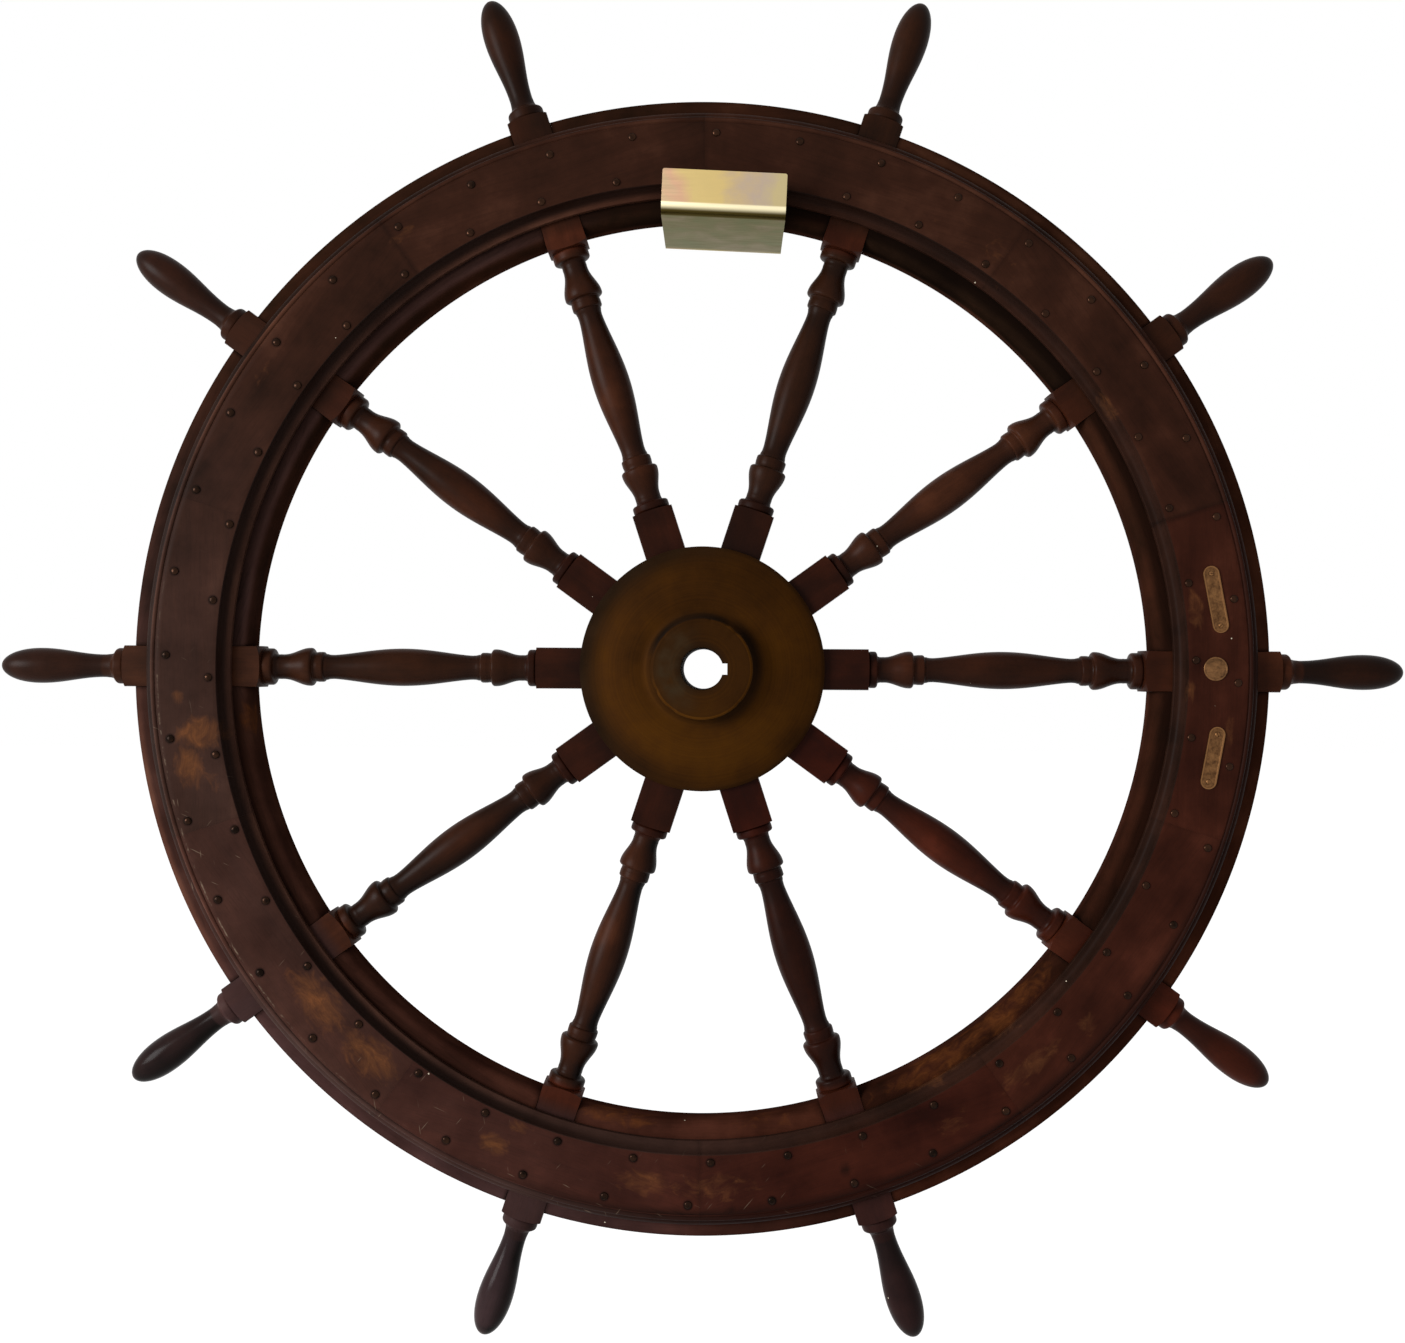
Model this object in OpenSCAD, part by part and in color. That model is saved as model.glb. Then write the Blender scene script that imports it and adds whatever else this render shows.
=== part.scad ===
// Ten-spoke ship's wheel of turned hardwood with a bronze hub, hung by its rim
// on a bent steel wall hanger. All sizes are in millimetres.
// The wheel stands in the XZ plane, its front faces -Y and +Z is up.
// The origin is the middle of the hub's bore.

/* [Rim] */
// Outer diameter of the felloe ring
rim_d = 1225; // [1000:5:1500]
// Radial depth of the felloe ring
rim_w = 125.5; // [110:0.5:150]
// Radius worked on the felloes' inner and outer edges
felloe_round = 11; // [4:1:14]
// Felloe left bare outside the facing rings
outer_margin = 17; // [10:0.5:22]
// Felloe left bare inside the facing rings
inner_margin = 18.5; // [10:0.5:24]
// Thickness of each facing ring
facing_t = 20; // [17:1:26]
// Radial width of the moulding on a facing's outer edge
outer_moulding = 15; // [13:0.5:20]
// Radial width of the moulding on a facing's inner edge
inner_moulding = 11.5; // [9:0.5:18]

/* [Spokes] */
// Side of the spokes' square, which is also the thickness of the felloes
spoke_w = 44.45; // [43:0.05:54]
// Square left showing outside the hub
hub_square_l = 48.5; // [20:0.5:90]
// Square standing inside the felloe ring
rim_square_l = 11; // [6:1:40]
// Square standing outside the felloe ring
outer_square_l = 12; // [9:0.5:40]
// Diameter of the collars beside the squares
collar_d = 39.8; // [36:0.2:41]
// Diameter of the narrow necks
neck_d = 26.2; // [20:0.2:32]
// Diameter of the vase swell by the hub
hub_vase_d = 40.2; // [36:0.2:42.6]
// Diameter of the vase swell by the rim
rim_vase_d = 41.4; // [36:0.2:42.6]
// Diameter of the shoulder rings
ring_d = 32.6; // [28:0.2:36]
// Diameter of the long belly
belly_d = 40.7; // [34:0.1:42.6]
// Length of the vase by the hub, from its neck to its swell
hub_vase_l = 28; // [18:0.5:36]
// Length of the vase by the rim, from its neck to its swell
rim_vase_l = 31; // [18:0.5:38]

/* [Handles] */
// Length of a handle from its square to its tip
handle_l = 137.5; // [110:0.5:190]
// Largest diameter of a handle
grip_d = 38.2; // [32:0.1:42]
// Diameter of a handle's neck
grip_neck_d = 24.6; // [20:0.2:30]
// Distance from a handle's thickest place to its tip
grip_tip_l = 43.5; // [34:0.5:60]

/* [Hub] */
// Diameter of the hub flanges
hub_d = 262.5; // [240:0.5:320]
// Length of the hub along the bore
hub_l = 140; // [120:1:180]
// Diameter of the bosses
boss_d = 107; // [96:1:120]
// Diameter of the shaft bore
bore_d = 44.45; // [30:0.05:55]
// Width of the keyway
key_w = 12.7; // [8:0.1:16]
// Depth of the keyway beyond the bore
key_h = 4.8; // [3:0.1:6]
// Outer diameter of the sleeve that carries the spokes' roots
sleeve_d = 72; // [60:1:80]
// Rise of the front flange's dome above its edge
dome_h = 17; // [8:1:24]
// Thickness of the front flange at its edge
flange_edge = 7; // [4:0.5:12]
// Thickness of the flat back flange
back_flange_t = 10; // [8:0.5:14]

/* [Fastenings] */
// Diameter of the rim rivets' shanks
rivet_d = 5.6; // [4:0.1:7]
// Diameter of the rivets' round heads
rivet_head_d = 9.6; // [8.4:0.1:11]
// Height of the rivets' round heads
rivet_head_h = 2.3; // [1.5:0.1:3]
// Diameter of the roves under the rivets' clenched ends
rove_d = 13; // [12:0.5:15]
// Thickness of the roves
rove_t = 1.6; // [1:0.1:2.5]
// Diameter of the hub bolts
bolt_d = 8; // [6:0.5:9]

/* [Plates] */
// Length of the upper name plate
upper_plate_l = 72; // [50:1:90]
// Length of the lower name plate
lower_plate_l = 67; // [50:1:90]
// Width of the name plates
plate_w = 17; // [14:0.5:22]
// Thickness of the name plates
plate_t = 1.6; // [1:0.1:2.5]
// Diameter of the disc that marks the king spoke
disc_d = 25.4; // [20:0.2:34]

/* [Hanger] */
// Width of the hanger
hanger_w = 130; // [100:1:160]
// Thickness of the hanger's steel
hanger_t = 10; // [6:0.5:12]
// Inner radius of the hanger's bends
bend_in_r = 2; // [1:0.5:14]
// Height of the hanger's front lip
lip_h = 46; // [36:1:70]
// Height of the hanger's back plate
back_h = 118; // [104:1:122]
// Clear space between the rim's front and the lip
lip_gap = 24.5; // [12:0.5:40]
// Clear space between the hub's back and the wall
wall_gap = 4; // [2:0.5:20]
// Turn of the hanger round the wheel's axis, seen from the front
hanger_turn = -2.4; // [-6:0.1:6]
// Circle that the wall screws stand on
screw_circle_d = 80; // [60:1:84]
// Diameter of the wall screws' holes
screw_hole_d = 9; // [6:0.5:11]

/* [Fit] */
// Gap left at glued and butted joints
joint_play = 0.1; // [0.05:0.05:0.3]
// Radial play of rivets, bolts and screws in their holes
hole_play = 0.15; // [0.1:0.05:0.4]
// Gap between the rim and the hanger's shelf
seat_gap = 0.3; // [0.2:0.1:1]

/* [Hidden] */
spoke_count = 10;
spoke_pitch = 360 / spoke_count;
half_pitch = spoke_pitch / 2;
rivets_per_spoke = 4;
rivet_count = spoke_count * rivets_per_spoke;
rivet_pitch = 360 / rivet_count;
// Angles of the first rivet of each row from the king spoke
outer_row_shift = -1.2;
inner_row_shift = 1.3;
outer_row_inset = 11;
inner_row_inset = 7.5;

rim_r = rim_d / 2;
rim_in_r = rim_r - rim_w;
facing_r = rim_r - outer_margin;
facing_in_r = rim_in_r + inner_margin;
face_r = facing_r - outer_moulding;
face_in_r = facing_in_r + inner_moulding;
outer_row_r = face_r - outer_row_inset;
inner_row_r = face_in_r + inner_row_inset;
half_w = spoke_w / 2;
rim_front = half_w + facing_t;

// Stations along a spoke, measured from the wheel's axis
corner_r = spoke_w * 0.75;
hub_square_end = hub_d / 2 + hub_square_l;
rim_square_start = rim_in_r - rim_square_l;
outer_square_end = rim_r + outer_square_l;
handle_tip = outer_square_end + handle_l;
hub_square_fade = 3;
rim_square_fade = 9;
outer_square_fade = 8;
hub_collar_l = 9.8;
rim_collar_l = 11.5;
cove_l = 8;
ring_l = 9.5;
ring_gap = 6;
neck_gap = 9;
handle_collar_l = 12.5;
sleeve_r = sleeve_d / 2;

bolt_circle_r = hub_d / 2 - 22;
bolt_hole_l = 10;
bolt_head_d = 15;
bolt_head_h = 6;
rivet_tail_h = 1.8;
block_in_r = half_w / sin(half_pitch) + 8;
boss_cove = 12;
boss_round = 3;

plate_ring_out = 1.5;
plate_ring_r = (face_r + face_in_r) / 2 + plate_ring_out;
upper_plate_at = 8;
upper_plate_turn = 2.8;
lower_plate_at = -9.6;
lower_plate_turn = -0.8;
screw_inset = 8;
disc_at = 0.3;
disc_inset = 5;
screw_d = 3.2;
screw_head_d = 5.8;
screw_head_h = 1.5;
screw_l = 14;

shelf_top = sqrt(pow(rim_in_r - seat_gap, 2) - pow(hanger_w / 2, 2));
shelf_bottom = shelf_top - hanger_t;
lip_front = rim_front + lip_gap + hanger_t;
wall_back = hub_l / 2 + wall_gap;
bend_r = bend_in_r + hanger_t;
screw_circle_rise = 66;
screw_circle_up = shelf_bottom + screw_circle_rise;

wood = "#4a2a1e";
dark_wood = "#3a2018";
bronze = "#6e4a1e";
old_brass = "#8a6a44";
dark_iron = "#2c2420";
zinc = "#cdb878";

// Points of an elliptical arc from angle a0 to angle a1
function arc(centre, rx, ry, a0, a1, n) =
    [for (i = [0:n]) let (a = a0 + (a1 - a0) * i / n) centre + [rx * cos(a), ry * sin(a)]];

// A turned swell that leaves radius r0 at x0 and reaches r1 at x1
function swell(x0, r0, x1, r1, fullness, n) =
    [for (i = [0:n]) [r0 + (r1 - r0) * pow(sin(90 * i / n), fullness), x0 + (x1 - x0) * i / n]];

// A hollow neck between two radii, an arc whose lowest point is at its middle
function cove(x0, r0, x1, r1, low, n) =
    [for (i = [0:n]) let (t = i / n, s = sin(180 * t))
        [(r0 * (1 - t) + r1 * t) * (1 - s) + low * s, x0 + (x1 - x0) * t]];

// Collar, neck, vase, ring and neck as [radius, distance from the square's end]
function turning(collar_l, vase_l, vase_d, low_d, hollow) =
    let (foot = collar_l + cove_l, vase = foot + vase_l, ring = vase + ring_gap)
    concat(
        arc([collar_d / 2 - 3, 3], 3, 3, -60, 0, 2),
        arc([collar_d / 2 - 3, collar_l - 3], 3, 3, 0, 80, 3),
        cove(collar_l + 0.5, collar_d / 2 - 5, foot, low_d / 2, low_d / 2, 3),
        [for (i = [1:9]) let (t = i / 10)
            [low_d / 2 + (vase_d - low_d) / 2 * (0.5 - 0.5 * cos(180 * pow(t, hollow))), foot + vase_l * t * 0.97]],
        arc([vase_d / 2 - 4, vase], 4, 3.5, 0, 90, 4),
        [[ring_d / 2 - 0.4, vase + 4.6]],
        arc([ring_d / 2 - 2.5, ring + 2.5], 2.5, 2.5, -20, 0, 1),
        arc([ring_d / 2 - 2.5, ring + ring_l - 2.5], 2.5, 2.5, 0, 80, 3),
        [[neck_d / 2 + 0.9, ring + ring_l + 2.5], [neck_d / 2 + 0.2, ring + ring_l + 5]]);

// The lathe profile of a whole spoke as [radius, station], widest where it stays square
function spoke_profile() =
    let (by_hub = turning(hub_collar_l, hub_vase_l, hub_vase_d, neck_d + 1.6, 1),
         by_rim = turning(rim_collar_l, rim_vase_l, rim_vase_d, neck_d + 0.6, 1.1),
         ends_l = cove_l + ring_gap + ring_l + neck_gap,
         belly_start = hub_square_end + hub_collar_l + hub_vase_l + ends_l,
         belly_end = rim_square_start - rim_collar_l - rim_vase_l - ends_l,
         belly_mid = (belly_start + belly_end) / 2, flat_r = collar_d / 2,
         handle_start = outer_square_end, neck_start = handle_start + handle_collar_l,
         grip_at = handle_tip - grip_tip_l)
    concat(
        [[0, 0], [corner_r, 0]],
        arc([flat_r - 1, hub_square_end - hub_square_fade], corner_r - flat_r + 1, hub_square_fade, 0, 90, 4),
        [for (p = by_hub) [p[0], hub_square_end + p[1]]],
        swell(belly_start, neck_d / 2, belly_mid, belly_d / 2, 1.4, 12),
        [for (i = [1:12]) let (p = swell(belly_end, neck_d / 2, belly_mid, belly_d / 2, 1.4, 12)[12 - i]) p],
        [for (i = [len(by_rim) - 1:-1:0]) [by_rim[i][0], rim_square_start - by_rim[i][1]]],
        arc([flat_r - 1, rim_square_start + rim_square_fade], corner_r - flat_r + 1, rim_square_fade, -90, 0, 6),
        arc([flat_r - 1, outer_square_end - outer_square_fade],
            corner_r - flat_r + 1, outer_square_fade, 0, 90, 6),
        arc([flat_r - 4, handle_start + 3.5], 3.5, 3.5, -50, 0, 2),
        arc([flat_r - 4, neck_start - 3.5], 3.5, 3.5, 0, 75, 3),
        [[grip_neck_d / 2 + 2, neck_start + 2], [grip_neck_d / 2 + 0.7, neck_start + 5.5]],
        swell(neck_start + 12, grip_neck_d / 2, grip_at, grip_d / 2, 2.1, 12),
        [for (i = [1:10]) let (t = sin(9 * i))
            [grip_d / 2 * pow(max(0, 1 - pow(t, 2.15)), 0.5), grip_at + (handle_tip - grip_at) * t]]);

// Turns a module drawn flat, with its front up, to stand with its front at -Y
module stand() {
    rotate([90, 0, 0]) children();
}

// Holes for the rim rivets within half a spoke pitch of angle mid
module rivet_holes(mid) {
    for (row = [[outer_row_r, outer_row_shift], [inner_row_r, inner_row_shift]])
        for (j = [0:rivet_count - 1]) {
            a = row[1] + rivet_pitch * j;
            off = (a - mid + 900) % 360 - 180;
            if (abs(off) < half_pitch)
                rotate(a) translate([row[0], 0, 0])
                    cylinder(h = 3 * rim_front, d = rivet_d + 2 * hole_play, center = true, $fn = 32);
        }
}

// Spoke number k with its handle, one turned piece whose root is mitred to its neighbours
module spoke(k) {
    at = spoke_pitch * (k - 1);
    mitre = tan(half_pitch);
    side = half_w - joint_play;
    color(wood) stand() difference() {
        rotate(at) intersection() {
            linear_extrude(height = spoke_w, center = true)
                polygon([[sleeve_r / 2, -sleeve_r / 2 * mitre + joint_play], [side / mitre, -side],
                         [handle_tip + 1, -side], [handle_tip + 1, side], [side / mitre, side],
                         [sleeve_r / 2, sleeve_r / 2 * mitre - joint_play]]);
            rotate([0, 90, 0]) rotate_extrude($fn = 72) polygon(spoke_profile());
        }
        cylinder(h = 2 * spoke_w, r = sleeve_r + hole_play, center = true, $fn = 96);
        rivet_holes(at);
    }
}

// Felloe number k, between spoke k and the next one
module felloe(k) {
    at = spoke_pitch * (k - 0.5);
    e = felloe_round;
    reach = 20;
    color(dark_wood) stand() difference() {
        rotate(at) difference() {
            rotate_extrude(angle = spoke_pitch, start = -half_pitch, $fn = 180)
                polygon(concat(
                    arc([rim_in_r + e, -half_w + e], e, e, -90, -180, 5),
                    arc([rim_in_r + e, half_w - e], e, e, 180, 90, 5),
                    arc([rim_r - e, half_w - e], e, e, 90, 0, 5),
                    arc([rim_r - e, -half_w + e], e, e, 0, -90, 5)));
            for (s = [-1, 1])
                rotate(s * half_pitch)
                    translate([rim_in_r - reach, -half_w, -spoke_w])
                        cube([rim_w + 3 * reach, spoke_w, 2 * spoke_w]);
        }
        rivet_holes(at);
    }
}

// Cross-section of a facing ring as [radius, height above the felloes]
module facing_section() {
    bead_r = 2.8;
    quirk = 1.2;
    fillet_w = 3.5;
    fillet_h = 6;
    polygon(concat(
        [[facing_in_r, 0], [facing_r, 0]],
        arc([facing_r - 7, 3], 7, 9, 0, 90, 5),
        [[facing_r - 8.5, 10.5]],
        arc([face_r + 1 + bead_r, facing_t - bead_r], bead_r, bead_r, -50, 150, 7),
        [[face_r + 0.6, facing_t - quirk], [face_r - 0.8, facing_t]],
        [[face_in_r, facing_t], [face_in_r - 0.8, facing_t - 0.8]],
        arc([facing_in_r + fillet_w, facing_t - 0.8],
            inner_moulding - fillet_w - 0.8, facing_t - 0.8 - fillet_h, 0, -90, 6),
        [[facing_in_r, fillet_h]]));
}

// Facing segment number k, centred on its spoke, on the front or the back of the rim
module facing(k, side) {
    at = spoke_pitch * (k - 1);
    butt = asin(joint_play / rim_r);
    color(wood) stand() difference() {
        mirror([0, 0, side < 0 ? 1 : 0]) rotate(at) translate([0, 0, half_w])
            rotate_extrude(angle = spoke_pitch - 2 * butt, start = butt - half_pitch, $fn = 180)
                facing_section();
        rivet_holes(at);
        if (k == 1 && side > 0)
            plate_holes();
    }
}

// Front half of the hub: domed flange, boss and the keyed sleeve that reaches to the back
module hub_front() {
    end = hub_l / 2;
    edge = half_w + flange_edge;
    cove_r = boss_d / 2 + boss_cove;
    color(bronze) stand() difference() {
        rotate_extrude($fn = 180) polygon(concat(
            [[bore_d / 2, -end], [sleeve_r, -end], [sleeve_r, half_w], [hub_d / 2, half_w]],
            [for (i = [0:10]) let (t = i / 10)
                [hub_d / 2 - (hub_d / 2 - cove_r) * t, edge + dome_h * (1 - pow(1 - t, 2.2))]],
            arc([cove_r, edge + dome_h + boss_cove], boss_cove, boss_cove, -100, -170, 6),
            arc([boss_d / 2 - boss_round, end - boss_round], boss_round, boss_round, 0, 90, 4),
            [[bore_d / 2, end]]));
        translate([0, -key_w / 2, -end - 1]) cube([bore_d / 2 + key_h, key_w, hub_l + 2]);
        at_bolts() cylinder(h = half_w + bolt_hole_l, d = bolt_d + 2 * hole_play, $fn = 32);
    }
}

// Back half of the hub: a flat flange and boss that slide over the sleeve
module hub_back() {
    end = hub_l / 2;
    cove_r = boss_d / 2 + 8;
    seat = half_w + back_flange_t;
    color(bronze) stand() mirror([0, 0, 1]) difference() {
        rotate_extrude($fn = 180) polygon(concat(
            [[sleeve_r + hole_play, half_w], [hub_d / 2, half_w]],
            arc([hub_d / 2 - 2, seat - 2], 2, 2, 0, 90, 3),
            arc([cove_r, seat + 8], 8, 8, -90, -175, 5),
            arc([boss_d / 2 - boss_round, end - boss_round], boss_round, boss_round, 0, 90, 4),
            [[sleeve_r + hole_play, end]]));
        at_bolts() cylinder(h = hub_l, d = bolt_d + 2 * hole_play, $fn = 32);
    }
}

// Places its children once in each gap between two spokes, on the hub's bolt circle
module at_bolts() {
    for (k = [0:spoke_count - 1])
        rotate(spoke_pitch * (k + 0.5)) translate([bolt_circle_r, 0, 0]) children();
}

// Filler blocks that pack the gaps between the spokes inside the hub
module nave_blocks() {
    out_r = hub_d / 2 - 4;
    slope = tan(half_pitch);
    set_back = (half_w + joint_play) / cos(half_pitch);
    color(dark_wood) stand() difference() {
        intersection() {
            for (k = [0:spoke_count - 1])
                rotate(spoke_pitch * (k + 0.5)) linear_extrude(height = spoke_w, center = true)
                    polygon([[block_in_r, set_back - block_in_r * slope], [out_r, set_back - out_r * slope],
                             [out_r, out_r * slope - set_back], [block_in_r, block_in_r * slope - set_back]]);
            cylinder(h = 2 * spoke_w, r = out_r - 1, center = true, $fn = 180);
        }
        at_bolts() cylinder(h = 2 * spoke_w, d = bolt_d + 2 * hole_play, center = true, $fn = 32);
    }
}

// Hexagon bolts from the back of the hub into blind holes behind the dome
module hub_bolts() {
    seat = half_w + back_flange_t;
    color(old_brass) stand() at_bolts() {
        translate([0, 0, -seat - bolt_head_h]) cylinder(h = bolt_head_h, d = bolt_head_d, $fn = 6);
        translate([0, 0, -seat]) cylinder(h = seat + half_w + bolt_hole_l - 1, d = bolt_d, $fn = 32);
    }
}

// One row of rim rivets, each with a round head in front and a clenched end over its rove
module rivets(row_r, shift) {
    head_r = rivet_head_d / 2;
    tail = -rim_front - rove_t;
    color(dark_iron) stand()
        for (j = [0:rivet_count - 1])
            rotate(shift + rivet_pitch * j) translate([row_r, 0, 0])
                rotate_extrude($fn = 32) polygon(concat(
                    [[0, tail - rivet_tail_h]],
                    arc([0, tail], rivet_d * 0.75, rivet_tail_h, -60, 0, 3),
                    [[rivet_d / 2, tail], [rivet_d / 2, rim_front]],
                    arc([0, rim_front], head_r, rivet_head_h, 0, 72, 4),
                    [[0, rim_front + rivet_head_h]]));
}

// Washers under the clenched ends of both rows of rivets
module rivet_roves() {
    color(old_brass) stand()
        for (row = [[outer_row_r, outer_row_shift], [inner_row_r, inner_row_shift]])
            for (j = [0:rivet_count - 1])
                rotate(row[1] + rivet_pitch * j) translate([row[0], 0, -rim_front - rove_t]) difference() {
                    cylinder(h = rove_t, d = rove_d, $fn = 40);
                    translate([0, 0, -1])
                        cylinder(h = rove_t + 2, d = rivet_d + 2 * hole_play, $fn = 32);
                }
}

// Places its children at a plate's middle, with X along the plate and Z out of the rim
module at_plate(at, turn) {
    rotate(at) translate([plate_ring_r, 0, rim_front]) rotate(90 + turn) children();
}

// Places its children at a plate's two screws
module at_plate_screws(l) {
    for (s = [-1, 1])
        translate([s * (l / 2 - screw_inset), 0, 0]) children();
}

// Places its children at the disc's middle, on the rim's front
module at_disc() {
    rotate(disc_at) translate([plate_ring_r - disc_inset, 0, rim_front]) children();
}

// Pilot holes in the front facing for the plates' screws and the disc's pin
module plate_holes() {
    pilot = screw_d + 2 * hole_play;
    at_plate(upper_plate_at, upper_plate_turn) at_plate_screws(upper_plate_l)
        translate([0, 0, -screw_l]) cylinder(h = screw_l + 1, d = pilot, $fn = 24);
    at_plate(lower_plate_at, lower_plate_turn) at_plate_screws(lower_plate_l)
        translate([0, 0, -screw_l]) cylinder(h = screw_l + 1, d = pilot, $fn = 24);
    at_disc() translate([0, 0, -screw_l]) cylinder(h = screw_l + 1, d = pilot, $fn = 24);
}

// A blank plate with round ends and two screw holes
module plate(l) {
    linear_extrude(height = plate_t) difference() {
        union() {
            square([l - plate_w, plate_w], center = true);
            for (s = [-1, 1])
                translate([s * (l - plate_w) / 2, 0]) circle(d = plate_w, $fn = 48);
        }
        at_plate_screws(l) circle(d = screw_d + 2 * hole_play, $fn = 24);
    }
}

module upper_plate() {
    color(old_brass) stand() at_plate(upper_plate_at, upper_plate_turn) plate(upper_plate_l);
}

module lower_plate() {
    color(old_brass) stand() at_plate(lower_plate_at, lower_plate_turn) plate(lower_plate_l);
}

// A small round-headed wood screw, its head resting on a plate
module plate_screw() {
    rotate_extrude($fn = 24) polygon(concat(
        [[0, 1 - screw_l], [screw_d / 2, 4 - screw_l], [screw_d / 2, plate_t]],
        arc([0, plate_t], screw_head_d / 2, screw_head_h, 0, 70, 4),
        [[0, plate_t + screw_head_h]]));
}

module plate_screws() {
    color(old_brass) stand() {
        at_plate(upper_plate_at, upper_plate_turn) at_plate_screws(upper_plate_l) plate_screw();
        at_plate(lower_plate_at, lower_plate_turn) at_plate_screws(lower_plate_l) plate_screw();
    }
}

// A blank disc with a raised rim on the king spoke, held by its own pin
module king_spoke_disc() {
    r = disc_d / 2;
    color(old_brass) stand() at_disc() rotate_extrude($fn = 64) polygon([
        [0, 1 - screw_l], [screw_d / 2, 1 - screw_l], [screw_d / 2, 0], [r, 0], [r, 1.4], [r - 0.5, 1.9],
        [r - 1.5, 1.9], [r - 2, 1.4], [r * 0.5, 1.7], [0, 1.8]]);
}

// Bent steel wall hanger: lip, shelf under the rim and screwed back plate
module hanger() {
    lip_top = shelf_bottom + lip_h;
    back_top = shelf_bottom + back_h;
    low = shelf_bottom + bend_r;
    wall = -wall_back;
    color(zinc) stand() rotate(hanger_turn) difference() {
        translate([-hanger_w / 2, 0, 0]) rotate([90, 0, 90]) linear_extrude(height = hanger_w)
            polygon(concat(
                [[lip_top, lip_front]],
                arc([low, lip_front - bend_r], bend_r, bend_r, 90, 180, 8),
                arc([low, wall + bend_r], bend_r, bend_r, 180, 270, 8),
                [[back_top, wall], [back_top, wall + hanger_t]],
                arc([low, wall + bend_r], bend_in_r, bend_in_r, 270, 180, 5),
                arc([low, lip_front - bend_r], bend_in_r, bend_in_r, 180, 90, 5),
                [[lip_top, lip_front - hanger_t]]));
        translate([0, screw_circle_up, wall])
            for (a = [45:90:315])
                rotate(a) translate([screw_circle_d / 2, 0, 0])
                    cylinder(h = 3 * hanger_t, d = screw_hole_d, center = true, $fn = 40);
    }
}

for (k = [1:spoke_count]) spoke(k);
for (k = [1:spoke_count]) felloe(k);
for (k = [1:spoke_count]) facing(k, 1);
for (k = [1:spoke_count]) facing(k, -1);
hub_front();
hub_back();
nave_blocks();
hub_bolts();
rivets(outer_row_r, outer_row_shift);  // outer_rivets
rivets(inner_row_r, inner_row_shift);  // inner_rivets
rivet_roves();
upper_plate();
lower_plate();
plate_screws();
king_spoke_disc();
hanger();
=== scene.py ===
import math
import random
from functools import partial

import bmesh
import bpy
from mathutils import Matrix, Vector


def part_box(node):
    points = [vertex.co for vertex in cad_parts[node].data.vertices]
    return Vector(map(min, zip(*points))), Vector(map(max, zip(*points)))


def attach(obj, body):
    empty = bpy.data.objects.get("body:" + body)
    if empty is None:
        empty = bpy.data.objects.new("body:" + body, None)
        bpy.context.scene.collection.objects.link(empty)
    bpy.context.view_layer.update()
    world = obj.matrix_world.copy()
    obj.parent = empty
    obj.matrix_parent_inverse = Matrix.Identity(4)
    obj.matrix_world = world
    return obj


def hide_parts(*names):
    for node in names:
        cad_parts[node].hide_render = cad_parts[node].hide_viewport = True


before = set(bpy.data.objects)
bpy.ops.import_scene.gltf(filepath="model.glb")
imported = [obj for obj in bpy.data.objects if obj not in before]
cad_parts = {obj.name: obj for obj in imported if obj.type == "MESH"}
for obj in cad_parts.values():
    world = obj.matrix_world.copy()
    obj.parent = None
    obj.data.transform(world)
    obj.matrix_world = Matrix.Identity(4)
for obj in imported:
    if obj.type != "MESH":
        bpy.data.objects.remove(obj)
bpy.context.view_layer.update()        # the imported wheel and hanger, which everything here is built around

scene = bpy.context.scene
chance = random.Random(18)
spokeCount = 10
pitch = 360 / spokeCount
halfPitch = math.radians(pitch / 2)
print("frame loaded with", len(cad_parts), "nodes")


def turned(degrees, axis="Z"):
    return Matrix.Rotation(math.radians(degrees), 4, axis)


def moved(x, y, z):
    return Matrix.Translation((x, y, z))


# Everything is drawn flat in millimetres with its front up, then stood up in metres facing -Y
standUp = turned(90, "X") @ Matrix.Scale(0.001, 4)


def boxMm(node):
    low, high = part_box(node)
    return low * 1000, high * 1000


def hexColour(text):
    # sRGB hex to the linear colour that sockets take
    parts = [int(text[i:i + 2], 16) / 255 for i in (0, 2, 4)]
    return [p / 12.92 if p <= 0.04045 else ((p + 0.055) / 1.055) ** 2.4 for p in parts] + [1]


def setInputs(node, values):
    # links what comes from another node, by its first output in use, and sets what is a value or a hex tint
    for key, value in values.items():
        if isinstance(value, str):
            value = hexColour(value)
        if isinstance(value, bpy.types.Node):
            value = next(socket for socket in value.outputs if socket.enabled)
        if isinstance(value, bpy.types.NodeSocket):
            node.id_data.links.new(value, node.inputs[key])
        else:
            node.inputs[key].default_value = value


def addNode(tree, kind, *values, stops=(), **settings):
    # a shader node with its settings, its inputs in order or by name and, on a ramp, its coloured stops
    made = tree.nodes.new("ShaderNode" + kind)
    for key, value in settings.items():
        setattr(made, key, value)
    setInputs(made, values[0] if values and isinstance(values[0], dict) else dict(enumerate(values)))
    for i, (place, tint) in enumerate(stops):
        element = made.color_ramp.elements[i] if i < 2 else made.color_ramp.elements.new(place)
        element.position = place
        element.color = hexColour(tint)
    return made


noiseRange = (0.3, 0.7)      # where most of a noise's values lie
addClamped = {"operation": "MULTIPLY_ADD", "use_clamp": True}
flatSockets = {"metallic": "Metallic", "specular": "Specular IOR Level", "grazing": "Specular Tint"}


def newMaterial(name):
    material = bpy.data.materials.new(name)
    material.use_nodes = True
    tree = material.node_tree
    return material, partial(addNode, tree), tree.nodes["Principled BSDF"]


def layerParts(add, layer):
    # the three values that one of a piece's own layers holds
    return add("SeparateXYZ", add("Attribute", attribute_name=layer).outputs["Vector"]).outputs


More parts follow.
